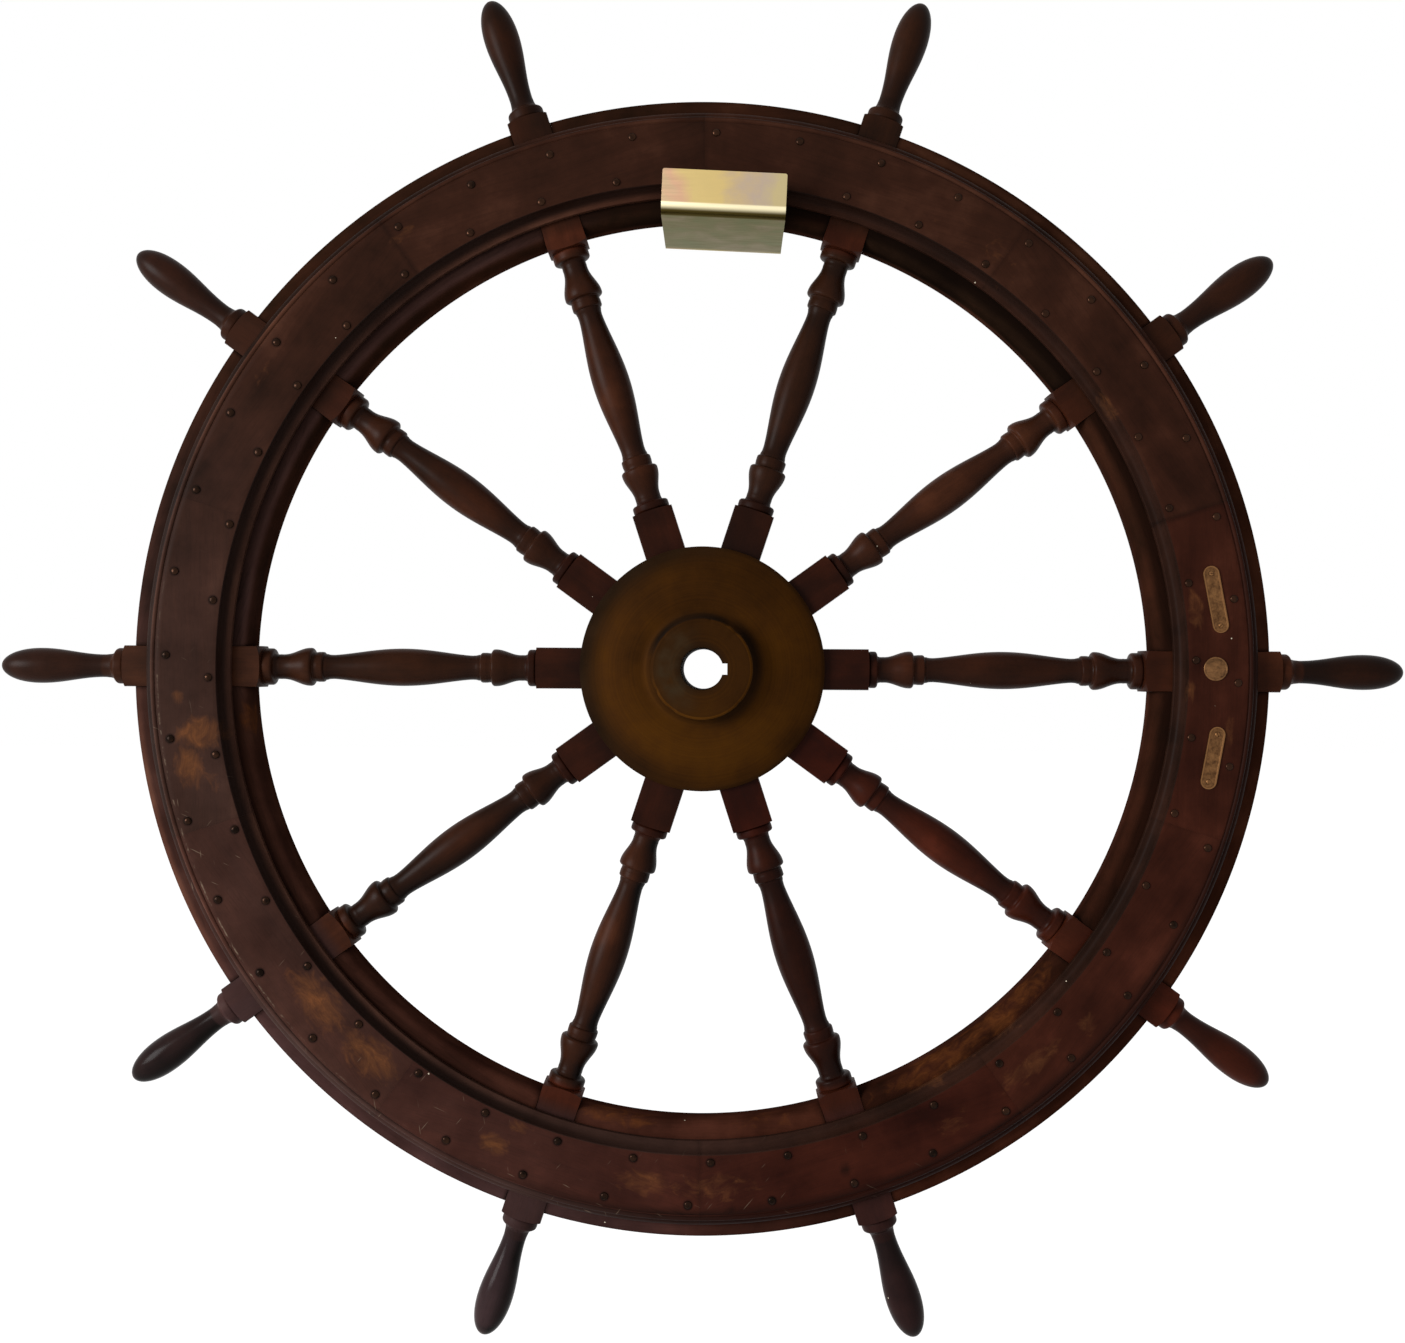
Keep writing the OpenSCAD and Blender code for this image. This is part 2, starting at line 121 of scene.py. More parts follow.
def finishShader(add, shader, look, colour, rough, height):
    # colour, roughness and fine relief, and what is the same all over straight on its socket
    bump = add("Bump", {"Height": height, "Strength": look["relief"], "Distance": look["reliefMm"] / 1000})
    setInputs(shader, {"Base Color": colour, "Roughness": rough, "Normal": bump})
    setInputs(shader, {socket: look[key] for key, socket in flatSockets.items() if key in look})


def patternSum(add, start, *shares):
    # a start value with each pattern's share added to it
    for pattern, share in shares:
        start = add("Math", pattern, share, start, operation="MULTIPLY_ADD")
    return start


# Old mahogany under a hand-rubbed varnish gone nearly black: a low sheen, soft clouds and faint streaks,
# brown-tan wood with ragged edges where the varnish has worn off, and pale broken lines of wear and painted
# glints on edges
woodLook = {
    # patterns drawn out along the grain: length and width in mm, and how broken up they are
    "streaks": ((90, 5), {"Detail": 4, "Roughness": 0.6, "Distortion": 0.4}),
    "pores": ((22, 1.4), {"Detail": 2}),
    "bands": ((260, 26), {"Detail": 3}),
    "ragged": ((20, 12), {"Detail": 5, "Roughness": 0.65, "Distortion": 0.8}),
    "cloudMm": 70, "streakShare": 0.1, "bandShare": 0.3, "cloudShare": 0.7, "middle": -0.05,
    "varnishStops": (0, 0.25, 0.5, 0.68, 0.9),
    "varnish": ("0c0604", "1f1008", "341b0f", "482818", "633b25"),
    "redVarnish": ("120503", "260b05", "3d160b", "532013", "6d3020"),
    "bare": [(0.34, "46281a"), (0.5, "5f3a22"), (0.68, "784829")],
    # the grey of dust and painted sheen, the near-black of dirt and painted shade, and the pale of rubbed
    # edges and painted glints
    "dustAndSheenGrey": "473830", "dirtAndShade": "0f0907", "rubbed": "746252", "fleck": "c4b7a2",
    "raggedWear": 1.1, "cloudWear": 0.6, "wornEdge": (1.15, 1.72), "wornMost": 0.85,
    "poreEdge": (0.36, 0.46), "poreDark": 0.12,
    "grimeAndShadeStrength": 1.7, "stainStrength": 1.2, "stainMm": (4, 6.8), "rivetRows": [],
    "specular": 0.045, "wornDull": 0.5, "dullRange": (0.2, 1), "gloss": (0.36, 0.58), "polish": 0,
    "relief": 0.14, "reliefMm": 0.5, "poreDepth": 1.2,
    "glintLines": [578.6, 588.4], "lineMm": (0.3, 1.1), "dashMm": 16, "dashEdge": (0.5, 0.68),
    "crestRadius": 590, "lanesPerMetre": 150,
    "scratchMm": (32, 2.6), "scratchSlants": (25, -50, 80), "scratchEdge": (0.745, 0.8), "scratchMost": 0.7,
    # the side they lie to, and from where to where they grow, least and most
    "stainSide": ((-0.8, 0, -0.6), -0.25, 0.3, 0.2, 1), "scratchSide": ((-0.6, -1, -0.75), 0.25, 0.5, 0, 1),
    "frontFrom": -0.03, "fleckMm": 17, "fleckSize": 0.05, "fleckShare": 0.06,
}
rivetPitch = 9
rivetRows = {"outer": (569.5, -1.2), "inner": (524.5, 1.3)}      # radius in mm and first angle in degrees


def roundRim(add, place):
    # angle in radians, distance and depth in metres of a point about the wheel's axis
    x, depth, z = add("SeparateXYZ", place).outputs
    flat = add("VectorMath", place, (1, 0, 1), operation="MULTIPLY")
    return add("Math", z, x, operation="ARCTAN2"), add("VectorMath", flat, operation="LENGTH"), depth


def towards(add, place, way, low, high, least, most):
    # grows from least to most the further a point lies that way
    along = add("VectorMath", place, way, operation="DOT_PRODUCT")
    return add("MapRange", along, low, high, least, most)


def stainedRound(add, place, look):
    # dark rings round the rivet heads: how near a point on the front lies to the nearest rivet
    angle, radius, depth = roundRim(add, place)
    half = math.radians(rivetPitch / 2)
    rows = []
    for row, first in look["rivetRows"]:
        past = add("Math", angle, math.radians(first), operation="SUBTRACT")
        past = add("Math", past, half, -half, operation="WRAP")
        along = add("Math", past, row / 1000, operation="MULTIPLY")
        out = add("Math", radius, row / 1000, operation="SUBTRACT")
        away = add("CombineXYZ", along, out)
        rows.append(add("VectorMath", away, operation="LENGTH"))
    nearest = add("Math", *rows, operation="MINIMUM")
    inner, outer = look["stainMm"]
    ring = add("MapRange", nearest, inner / 1000, outer / 1000, 1, 0, interpolation_type="SMOOTHSTEP")
    # only on the front, and strongest to the lower left
    front = add("Math", depth, look["frontFrom"], operation="LESS_THAN")
    ring = add("Math", ring, front, operation="MULTIPLY")
    low = towards(add, place, *look["stainSide"])
    return add("Math", ring, low, operation="MULTIPLY")


def glintDashes(add, place, look):
    # thin broken lines along the crests of the outer moulding: rubbed wear with painted glints
    angle, radius = roundRim(add, place)[:2]
    lines = []
    for line in look["glintLines"]:
        away = add("Math", radius, line / 1000, operation="SUBTRACT")
        lines.append(add("Math", away, operation="ABSOLUTE"))
    nearest = add("Math", *lines, operation="MINIMUM")
    full, gone = look["lineMm"]
    thin = add("MapRange", nearest, full / 1000, gone / 1000, 1, 0)
    # the noise runs with the angle, and differs from line to line through the radius
    run = add("Math", angle, look["crestRadius"] / look["dashMm"], operation="MULTIPLY")
    lane = add("Math", radius, look["lanesPerMetre"], operation="MULTIPLY")
    spot = add("CombineXYZ", run, lane)
    broken = add("TexNoise", {"Vector": spot, "Scale": 1, "Detail": 4, "Roughness": 0.7},
                              noise_dimensions="2D")
    broken = add("MapRange", broken, *look["dashEdge"], 0, 1)
    return add("Math", thin, broken, operation="MULTIPLY")


def fineScratches(add, place, look):
    # pale hair lines at a slant, only on the front's lower left
    long, wide = look["scratchMm"]
    found = None
    for slant in look["scratchSlants"]:
        across = add("Mapping", {"Vector": place, "Rotation": (0, math.radians(slant), 0),
                                 "Scale": (long / 1000, 1, wide / 1000)}, vector_type="TEXTURE")
        line = add("TexNoise", {"Vector": across, "Scale": 1, "Detail": 1})
        line = add("MapRange", line, *look["scratchEdge"], 0, look["scratchMost"])
        found = add("Math", found, line, operation="MAXIMUM") if found else line
    low = towards(add, place, *look["scratchSide"])
    return add("Math", found, low, operation="MULTIPLY")


def agedWood(name, look):
    material, add, shader = newMaterial(name)
    grain = add("Attribute", attribute_name="grain").outputs["Vector"]
    wear, grimeAndShade, rubbed = layerParts(add, "marks")
    # tone holds the wood's own tone with painted light and shade; the third part holds dust and a painted
    # sheen
    tone, red, dustAndSheen = layerParts(add, "tints")
    place = add("TexCoord").outputs["Object"]

    patterns = []
    for part in ("streaks", "pores", "bands", "ragged"):
        (length, width), detail = look[part]
        scale = (1000 / length, 1000 / width, 1000 / width)
        drawn = add("VectorMath", grain, scale, operation="MULTIPLY")
        patterns.append(add("TexNoise", {"Vector": drawn, "Scale": 1, **detail}))
    streaks, pores, bands, ragged = patterns
    clouds = add("TexNoise", {"Vector": place, "Scale": 1000 / look["cloudMm"], "Detail": 5,
                              "Roughness": 0.6})
    mixed = patternSum(add, look["middle"], (streaks, look["streakShare"]), (bands, look["bandShare"]),
                       (clouds, look["cloudShare"]))
    shade = add("Math", mixed, tone, operation="ADD")
    brown, reddish = (add("ValToRGB", shade, stops=zip(look["varnishStops"], look[ramp]))
                      for ramp in ("varnish", "redVarnish"))
    varnish = add("Mix", {0: red, 6: brown, 7: reddish}, data_type="RGBA")
    # grey of dust, and a grey painted sheen where the light falls
    dustAndSheen = add("Math", clouds, dustAndSheen, operation="MULTIPLY")
    varnish = add("Mix", {0: dustAndSheen, 6: varnish, 7: look["dustAndSheenGrey"]}, data_type="RGBA")
    fibres = add("Math", clouds, ragged, operation="ADD")
    fibres = add("Math", fibres, 0.5, operation="MULTIPLY")
    bare = add("ValToRGB", fibres, stops=look["bare"])

    # worn places fade in along ragged edges
    edge = patternSum(add, wear, (ragged, look["raggedWear"]), (clouds, look["cloudWear"]))
    worn = add("MapRange", edge, *look["wornEdge"], 0, look["wornMost"])
    wood = add("Mix", {0: worn, 6: varnish, 7: bare}, data_type="RGBA")

    # dark pores, then grime and painted shade from the marks, and the stains round rivets
    poreDark = add("MapRange", pores, *look["poreEdge"], look["poreDark"], 0)
    dark = add("Math", clouds, grimeAndShade, operation="MULTIPLY")
    dark = add("Math", dark, look["grimeAndShadeStrength"], poreDark, **addClamped)
    if look["rivetRows"]:
        ring = add("Math", stainedRound(add, place, look), clouds, operation="MULTIPLY")
        dark = add("Math", ring, look["stainStrength"], dark, **addClamped)
    wood = add("Mix", {0: dark, 6: wood, 7: look["dirtAndShade"]}, data_type="RGBA")

    # pale dashes on the moulding's crests, rubbed wear with painted glints, and fine scratches
    if look["rivetRows"]:
        dashes = add("Math", glintDashes(add, place, look), rubbed, operation="MULTIPLY", use_clamp=True)
        lines = add("Math", dashes, fineScratches(add, place, look), operation="MAXIMUM")
        wood = add("Mix", {0: lines, 6: wood, 7: look["rubbed"]}, data_type="RGBA")

    # a few pale flecks of old paint
    cells = add("TexVoronoi", {"Vector": place, "Scale": 1000 / look["fleckMm"]})
    small = add("Math", cells.outputs["Distance"], look["fleckSize"], operation="LESS_THAN")
    pick = add("SeparateXYZ", cells.outputs["Color"])
    pick = add("Math", pick, look["fleckShare"], operation="LESS_THAN")
    fleck = add("Math", small, pick, operation="MULTIPLY")
    wood = add("Mix", {0: fleck, 6: wood, 7: look["fleck"]}, data_type="RGBA")

    dull = add("Math", worn, look["wornDull"], mixed, operation="MULTIPLY_ADD")
    dull = add("MapRange", dull, *look["dullRange"], *look["gloss"])
    # handles that hands have polished are smoother
    dull = add("Math", rubbed, -look["polish"], dull, operation="MULTIPLY_ADD")
    height = add("Math", poreDark, -look["poreDepth"], streaks, operation="MULTIPLY_ADD")
    finishShader(add, shader, look, wood, dull, height)
    return material


# Cast bronze turned on a lathe and left to brown over: a dull golden-brown patina, faint turning
# rings, and near-black where dirt sits and where shade is painted
bronzeLook = {
    "ringMm": 2.2, "ringShare": 0.14, "patinaMm": 55, "patinaShare": 0.7, "lighter": 0.15,
    "patina": [(0.25, "271404"), (0.45, "3a2006"), (0.62, "472907"), (0.85, "5c380e")],
    # the near-black of dirt and painted shade
    "filmMm": 18, "filmEdge": (0.35, 0.6), "filmLeast": 0.25, "film": "3a2b1a", "dirtAndShade": "1c140e",
    "sootAndShadeStrength": 2, "sootAndShadeDull": 0.35, "rough": (0.6, 0.75), "metallic": 0.5, "specular": 0.04,
    "pitMm": 3.5, "ringHeight": 0.5, "relief": 0.25, "reliefMm": 0.4,
}


def brownBronze(name, look):
    material, add, shader = newMaterial(name)
    place = add("TexCoord").outputs["Object"]
    filmy, grimeAndShade, tone = layerParts(add, "marks")
    patina = add("TexNoise", {"Vector": place, "Scale": 1000 / look["patinaMm"], "Detail": 6,
                              "Roughness": 0.6})
    flat = add("VectorMath", place, (1, 0, 1), operation="MULTIPLY")
    radius = add("VectorMath", flat, operation="LENGTH")
    rings = add("TexNoise", {"W": radius, "Scale": 1000 / look["ringMm"], "Detail": 2}, noise_dimensions="1D")
    pits = add("TexNoise", {"Vector": place, "Scale": 1000 / look["pitMm"], "Detail": 3})
    shade = patternSum(add, -look["ringShare"] / 2, (rings, look["ringShare"]),
                       (patina, look["patinaShare"]))
    shade = add("Math", shade, look["lighter"], operation="ADD")
    shade = add("Math", shade, tone, operation="ADD")
    metal = add("ValToRGB", shade, stops=look["patina"])
    # soot and painted shade from the marks
    sootAndShade = add("Math", patina, grimeAndShade, operation="MULTIPLY")
    sootAndShade = add("Math", sootAndShade, look["sootAndShadeStrength"], operation="MULTIPLY", use_clamp=True)
    film = add("TexNoise", {"Vector": place, "Scale": 1000 / look["filmMm"], "Detail": 4})
    film = add("MapRange", film, *look["filmEdge"], look["filmLeast"], 1)
    film = add("Math", film, filmy, operation="MULTIPLY")
    metal = add("Mix", {0: film, 6: metal, 7: look["film"]}, data_type="RGBA")
    metal = add("Mix", {0: sootAndShade, 6: metal, 7: look["dirtAndShade"]}, data_type="RGBA")
    rough = add("MapRange", patina, *noiseRange, *look["rough"])
    rough = add("Math", sootAndShade, look["sootAndShadeDull"], rough, **addClamped)
    height = add("Math", rings, look["ringHeight"], pits, operation="MULTIPLY_ADD")
    finishShader(add, shader, look, metal, rough, height)
    return material


# Small brass and copper fittings: tarnished dark, lighter and warmer on what stands proud and gets rubbed
mottled = {"finePerMetre": 160, "broadPerMetre": 22, "broadShare": 0.6, "edge": (0.58, 0.98),
           "metallic": 0.85, "specular": 0.1, "relief": 0.25, "reliefMm": 0.3}
fittingLooks = {
    "brownedCopper": dict(mottled, dark="120a06", bright="3a2418", rubbed=0.7, rough=(0.32, 0.2),
                          metallic=0.75),
    "tarnishedBrass": dict(mottled, dark="2c180f", bright="946a42", rubbed=0.62, rough=(0.52, 0.34)),
    "mottledGilt": dict(mottled, dark="2a1c12", bright="946a44", rubbed=0.66, rough=(0.5, 0.3)),
    "dullBronze": dict(mottled, dark="241810", bright="59401f", rubbed=0.5, rough=(0.6, 0.4)),
}


def rubbedMetal(name):
    look = fittingLooks[name]
    material, add, shader = newMaterial(name)
    place = add("TexCoord").outputs["Object"]
    cloud = add("TexNoise", {"Vector": place, "Scale": look["finePerMetre"], "Detail": 5, "Roughness": 0.7})
    broad = add("TexNoise", {"Vector": place, "Scale": look["broadPerMetre"], "Detail": 2})
    shade = add("Math", broad, look["broadShare"], cloud, operation="MULTIPLY_ADD")
    shade = add("Math", shade, layerParts(add, "marks")["Z"], operation="ADD")
    bright = add("MapRange", shade, *look["edge"], 0, look["rubbed"])
    metal = add("Mix", {0: bright, 6: look["dark"], 7: look["bright"]}, data_type="RGBA")
    rough = add("MapRange", cloud, *noiseRange, *look["rough"])
    finishShader(add, shader, look, metal, rough, cloud)
    return material


# Bent steel with yellow zinc plating: satin straw-gold with pink, green and lilac drifting over it, a
# painted highlight line and a painted dark reflection at the bend, and a grey-green film with painted shade
# underneath.
# The bands lie along the sheet's own length, counted in mm from the lip's top edge round the outside
zincLook = {
    "driftMm": 34, "driftShare": 0.7, "rollMm": (60, 1.5), "rollShare": 0.06, "filmShare": 0.1,
    "across": [(0.0, "c2a683"), (0.12, "cba283"), (0.3, "cfb67a"), (0.5, "d3b97b"), (0.64, "c6ae87"),
               (0.8, "bca894"), (1.0, "c6b486")],
    "bendHighlight": "fff2c8", "bent": "453a19", "under": [(0.35, "56583a"), (0.5, "5f593d"), (0.65, "6f6350")],
    "bendHighlightFrom": (33.5, 35.5), "bentFrom": (36.5, 43.5), "underFilmAndShadeFrom": (50, 52), "goldAgain": (172, 186),
    "metallic": 1, "grazing": "e8e6d6", "rough": (0.3, 0.44), "relief": 0.06, "reliefMm": 0.2,
}


def yellowZinc(name, look):
    material, add, shader = newMaterial(name)
    place = add("TexCoord").outputs["Object"]
    across, along = layerParts(add, "sheet")[:2]
    drift = add("TexNoise", {"Vector": place, "Scale": 1000 / look["driftMm"], "Detail": 4,
                             "Roughness": 0.55, "Distortion": 0.5})
    length, width = look["rollMm"]
    rolled = add("VectorMath", place, (1000 / length, 1000 / width, 1000 / width), operation="MULTIPLY")
    rolled = add("TexNoise", {"Vector": rolled, "Scale": 1, "Detail": 3})

    # tints across the sheet, their borders wavering with the drift
    shade = add("Math", drift, look["driftShare"], -look["driftShare"] / 2, operation="MULTIPLY_ADD")
    shade = add("Math", shade, across, operation="ADD")
    shade = add("Math", rolled, look["rollShare"], shade, operation="MULTIPLY_ADD")
    gold = add("ValToRGB", shade, stops=look["across"])
    # the underside's grey-green, partly a dull film and partly painted shade
    film = add("Math", rolled, look["filmShare"], -look["filmShare"] / 2, operation="MULTIPLY_ADD")
    film = add("Math", film, drift, operation="ADD")
    film = add("ValToRGB", film, stops=look["under"])
    # bands along the sheet: a painted highlight line and a painted dark reflection at the bend, the
    # underside's film with painted shade, then gold again
    plated = gold
    for limits, tint in (("bendHighlightFrom", look["bendHighlight"]), ("bentFrom", look["bent"]), ("underFilmAndShadeFrom", film),
                         ("goldAgain", gold)):
        share = add("MapRange", along, *look[limits], 0, 1, interpolation_type="SMOOTHSTEP")
        plated = add("Mix", {0: share, 6: plated, 7: tint}, data_type="RGBA")
    rough = add("MapRange", rolled, *noiseRange, *look["rough"])
    finishShader(add, shader, look, plated, rough, rolled)
    return material


# Plain end-grain filler between the spokes inside the hub: dry, dusty and unvarnished
blockLook = {"fibreMm": 6, "fibres": [(0.3, "1c120d"), (0.7, "40291c")], "relief": 0.3, "reliefMm": 0.5,
             "rough": 0.8, "specular": 0.1}


def dustyBlocks(name, look):
    material, add, shader = newMaterial(name)
    place = add("TexCoord").outputs["Object"]
    fibres = add("TexNoise", {"Vector": place, "Scale": 1000 / look["fibreMm"], "Detail": 5})
    wood = add("ValToRGB", fibres, stops=look["fibres"])
    finishShader(add, shader, look, wood, look["rough"], fibres)
    return material


# spokes: the same finish, smooth and glossy where hands have held them, with a cool grey painted sheen
spokeWood = agedWood("varnishedMahogany", dict(woodLook, polish=0.24, dustAndSheenGrey="44363a"))
# facings: stained round each rivet, with pale broken lines of wear and painted glints on the moulding
facingWood = agedWood("varnishedMahoganyFacing", dict(
    woodLook, rivetRows=list(rivetRows.values()), specular=0.025, dustAndSheenGrey="483a36",
    varnish=("0c0705", "1f110b", "341d14", "482b1f", "633e2d"),
    redVarnish=("120605", "260e09", "3d1b12", "53271b", "6d3729")))
# felloes: no gloss left, a greyer brown, and orange-brown where the wood is bare
felloeWood = agedWood("dullMahoganyFelloe", dict(
    woodLook, specular=0.0, gloss=(0.5, 0.75), bare=[(0.34, "46240f"), (0.5, "603518"), (0.68, "784520")],
    dustAndSheenGrey="4d3c3e",
    varnish=("0d0806", "20140d", "361e14", "4b2d1f", "67422d"),
    redVarnish=("100705", "24110b", "3c1d13", "532a1d", "6d3b2a")))
hubBronze = brownBronze("brownPatinaBronze", bronzeLook)
rivetCopper, plateBrass, discGilt, boltBronze = (rubbedMetal(name) for name in fittingLooks)
zincSteel = yellowZinc("yellowZincSteel", zincLook)
blockWood = dustyBlocks("dustyFillerWood", blockLook)
print("materials made")


def arc(centre, radii, start, end, steps):
    # points of an elliptical arc, angles in degrees
    turns = [math.radians(start + (end - start) * i / steps) for i in range(steps + 1)]
    return [(centre[0] + radii[0] * math.cos(t), centre[1] + radii[1] * math.sin(t)) for t in turns]


def ofKind(kind, geometry):
    return [part for part in geometry if isinstance(part, kind)]


def newVerts(geometry):
    return ofKind(bmesh.types.BMVert, geometry)


def drawLine(bm, points, closed=False):
    verts = [bm.verts.new(p) for p in points]
    ends = verts[1:] + verts[:1] if closed else verts[1:]
    return [bm.edges.new(pair) for pair in zip(verts, ends)]


def divideEdges(bm, edges, spacing):
    # cuts each long edge into parts no longer than the spacing
    for edge in list(edges):
        cuts = int(edge.calc_length() / spacing)
        if cuts:
            bmesh.ops.subdivide_edges(bm, edges=[edge], cuts=cuts)


def spinRound(bm, axis, angle=360, steps=96):
    bmesh.ops.spin(bm, geom=bm.verts[:] + bm.edges[:], cent=(0, 0, 0), axis=axis, dvec=(0, 0, 0),
                   angle=math.radians(angle), steps=steps, use_merge=angle == 360)
    bmesh.ops.remove_doubles(bm, verts=bm.verts[:], dist=0.001)


def turnedPiece(points, steps, closed=False):
    # a shape turned about Z from a line of (radius, height)
    bm = bmesh.new()
    drawLine(bm, [(r, 0, h) for r, h in points], closed)
    spinRound(bm, (0, 0, 1), steps=steps)
    return bm


def closeHoles(bm):
    bmesh.ops.holes_fill(bm, edges=[e for e in bm.edges if e.is_boundary], sides=0)


def cutThrough(bm, point, normal):
    bmesh.ops.bisect_plane(bm, geom=bm.verts[:] + bm.edges[:] + bm.faces[:], plane_co=point, plane_no=normal)


def trim(bm, point, normal):
    # cuts away what lies beyond a plane and closes the cut
    bmesh.ops.bisect_plane(bm, geom=bm.verts[:] + bm.edges[:] + bm.faces[:], plane_co=point, plane_no=normal,
                           clear_outer=True)
    closeHoles(bm)


def soften(bm, parts, offset, segments, affect="EDGES"):
    bmesh.ops.bevel(bm, geom=parts, offset=offset, segments=segments, profile=0.5, affect=affect, material=-1)


def pitchEnd(side):
    # points out through the plane half a pitch to one side
    return Vector((-math.sin(halfPitch), side * math.cos(halfPitch), 0))


def smoothStep(low, high, value):
    share = min(1, max(0, (value - low) / (high - low)))
    return share * share * (3 - 2 * share)


def turnBetween(angle, centre):
    return (angle - centre + 180) % 360 - 180


def fadeIn(limits, value):
    # nothing at the first limit, the strength that comes third at the second
    none, full, strength = limits
    return strength * smoothStep(none, full, value)


def onSide(limits, angle):
    # a strength round a middle angle: middle, how far from it the mark ends, how far it is full, strength
    return fadeIn(limits[1:], abs(turnBetween(angle, limits[0])))


def leaning(angle, centre):
    return math.cos(math.radians(angle - centre))


def flatAngle(co):
    return math.degrees(math.atan2(co.y, co.x))


# How much the pieces of wood differ: where in the grain they were cut, in metres, and how light they are
pieceSpread = {"cut": 9, "tone": 0.02}


def paintWood(bm, marksAt, tone=0.0, redness=0.0, across=True):
    # the grain's own coordinates in metres, shifted so that no two pieces are alike, and the marks of use
    # with painted light and shade
    grain, marks, tints = (bm.verts.layers.float_vector.new(layer) for layer in ("grain", "marks", "tints"))
    cut, spread = pieceSpread["cut"], pieceSpread["tone"]
    shift = Vector([chance.uniform(-cut, cut) for _ in range(3)])
    tone += chance.uniform(-spread, spread)
    for v in bm.verts:
        v[grain] = (v.co.yxz if across else v.co) * 0.001 + shift
        wear, grimeAndShade, rubbed, pale, red, dustAndSheen = marksAt(v.co)
        v[marks] = (wear, grimeAndShade, rubbed)
        v[tints] = (pale + tone, min(1, max(0, red + redness)), dustAndSheen)


def meshFrom(bm, name):
    mesh = bpy.data.meshes.new(name)
    bm.to_mesh(mesh)
    bm.free()
    return mesh


def addObject(name, data):
    made = bpy.data.objects.new(name, data)
    scene.collection.objects.link(made)
    return made


def joinTo(bm, one):
    # adds a finished small shape to the mesh of its whole row
    loose = meshFrom(one, "loose")
    bm.from_mesh(loose)
    bpy.data.meshes.remove(loose)


def finishPiece(bm, name, nodes, body, material, turn=0.0, crease=32):
    # normals, sharp edges and place, then the object itself with its body, CAD nodes and slot
    bmesh.ops.remove_doubles(bm, verts=bm.verts[:], dist=0.001)
    bmesh.ops.recalc_face_normals(bm, faces=bm.faces[:])
    bm.transform(standUp @ turned(turn))
    for face in bm.faces:
        face.smooth = True
    for edge in bm.edges:
        edge.smooth = len(edge.link_faces) == 2 and edge.calc_face_angle(0) < math.radians(crease)
    mesh = meshFrom(bm, name)
    mesh.materials.append(material)
    piece = addObject(name, mesh)
    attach(piece, body)
    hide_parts(*nodes)


# One turned spoke: lengths are measured from the wheel's axis, in millimetres
spoke = {
    "side": 44.25, "arris": 1.8, "collar": 39.8, "neck": 26.2, "ring": 32.6, "belly": 40.7,
    "hubSquareEnd": 179.75, "rimSquareStart": 476, "outerSquareEnd": 624.5,
    "hubFade": 3, "rimFade": 9, "outerFade": 8,
    "grip": 38.2, "gripNeck": 24.6, "gripFromTip": 43.5, "handleCollar": 12.5, "sleeve": 36.3, "steps": 64,
    "handleTip": boxMm("spoke_1")[1].x,
    # collar length, vase length and swell, lowest neck, and how hollow the vase is
    "byHub": (9.8, 28, 40.2, 27.8, 1.0), "byRim": (11.5, 31, 41.4, 26.8, 1.1),
    "collarRound": 3, "neckLength": 8, "vaseRound": (4, 3.5), "ringRound": 2.5, "ringLength": 18,
    "handleRound": 3.5, "bellyFullness": 1.4, "gripFullness": 2.1, "tipFullness": 2.15,
}
squareReach = spoke["side"] * 0.755     # further out than the square's corners


def swell(start, startRadius, end, endRadius, fullness, steps=26):
    # a turned swelling as (radius, station)
    return [(startRadius + (endRadius - startRadius) * math.sin(math.pi / 2 * i / steps) ** fullness,
             start + (end - start) * i / steps) for i in range(steps + 1)]


def turnedEnd(collarLength, vaseLength, vaseWidth, lowWidth, hollow):
    # collar, neck, vase, ring and neck as (radius, distance from the square)
    collar, neck, ring = (spoke[key] / 2 for key in ("collar", "neck", "ring"))
    lip, bead, (rise, run) = spoke["collarRound"], spoke["ringRound"], spoke["vaseRound"]
    swollen, low = vaseWidth / 2, lowWidth / 2
    foot = collarLength + spoke["neckLength"]
    top = foot + vaseLength
    last = top + spoke["ringLength"]
    points = arc((collar - lip, lip), (lip, lip), -60, 0, 4)
    points += arc((collar - lip, collarLength - lip), (lip, lip), 0, 80, 6)
    for i in range(9):
        t = i / 8
        dip = math.sin(math.pi * t)
        points.append((((collar - 5) * (1 - t) + low * t) * (1 - dip) + low * dip,
                       collarLength + 0.5 + (spoke["neckLength"] - 0.5) * t))
    for i in range(1, 20):
        t = i / 20
        points.append((low + (swollen - low) * (0.5 - 0.5 * math.cos(math.pi * t ** hollow)),
                       foot + vaseLength * t * 0.97))
    points += arc((swollen - rise, top), (rise, run), 0, 90, 7) + [(ring - 0.4, top + 4.6)]
    points += arc((ring - bead, top + 8.5), (bead, bead), -20, 0, 2)
    points += arc((ring - bead, top + 13), (bead, bead), 0, 80, 6)
    return points + [(neck + 0.9, last), (neck + 0.5, last + 1.2), (neck + 0.2, last + 2.5)]


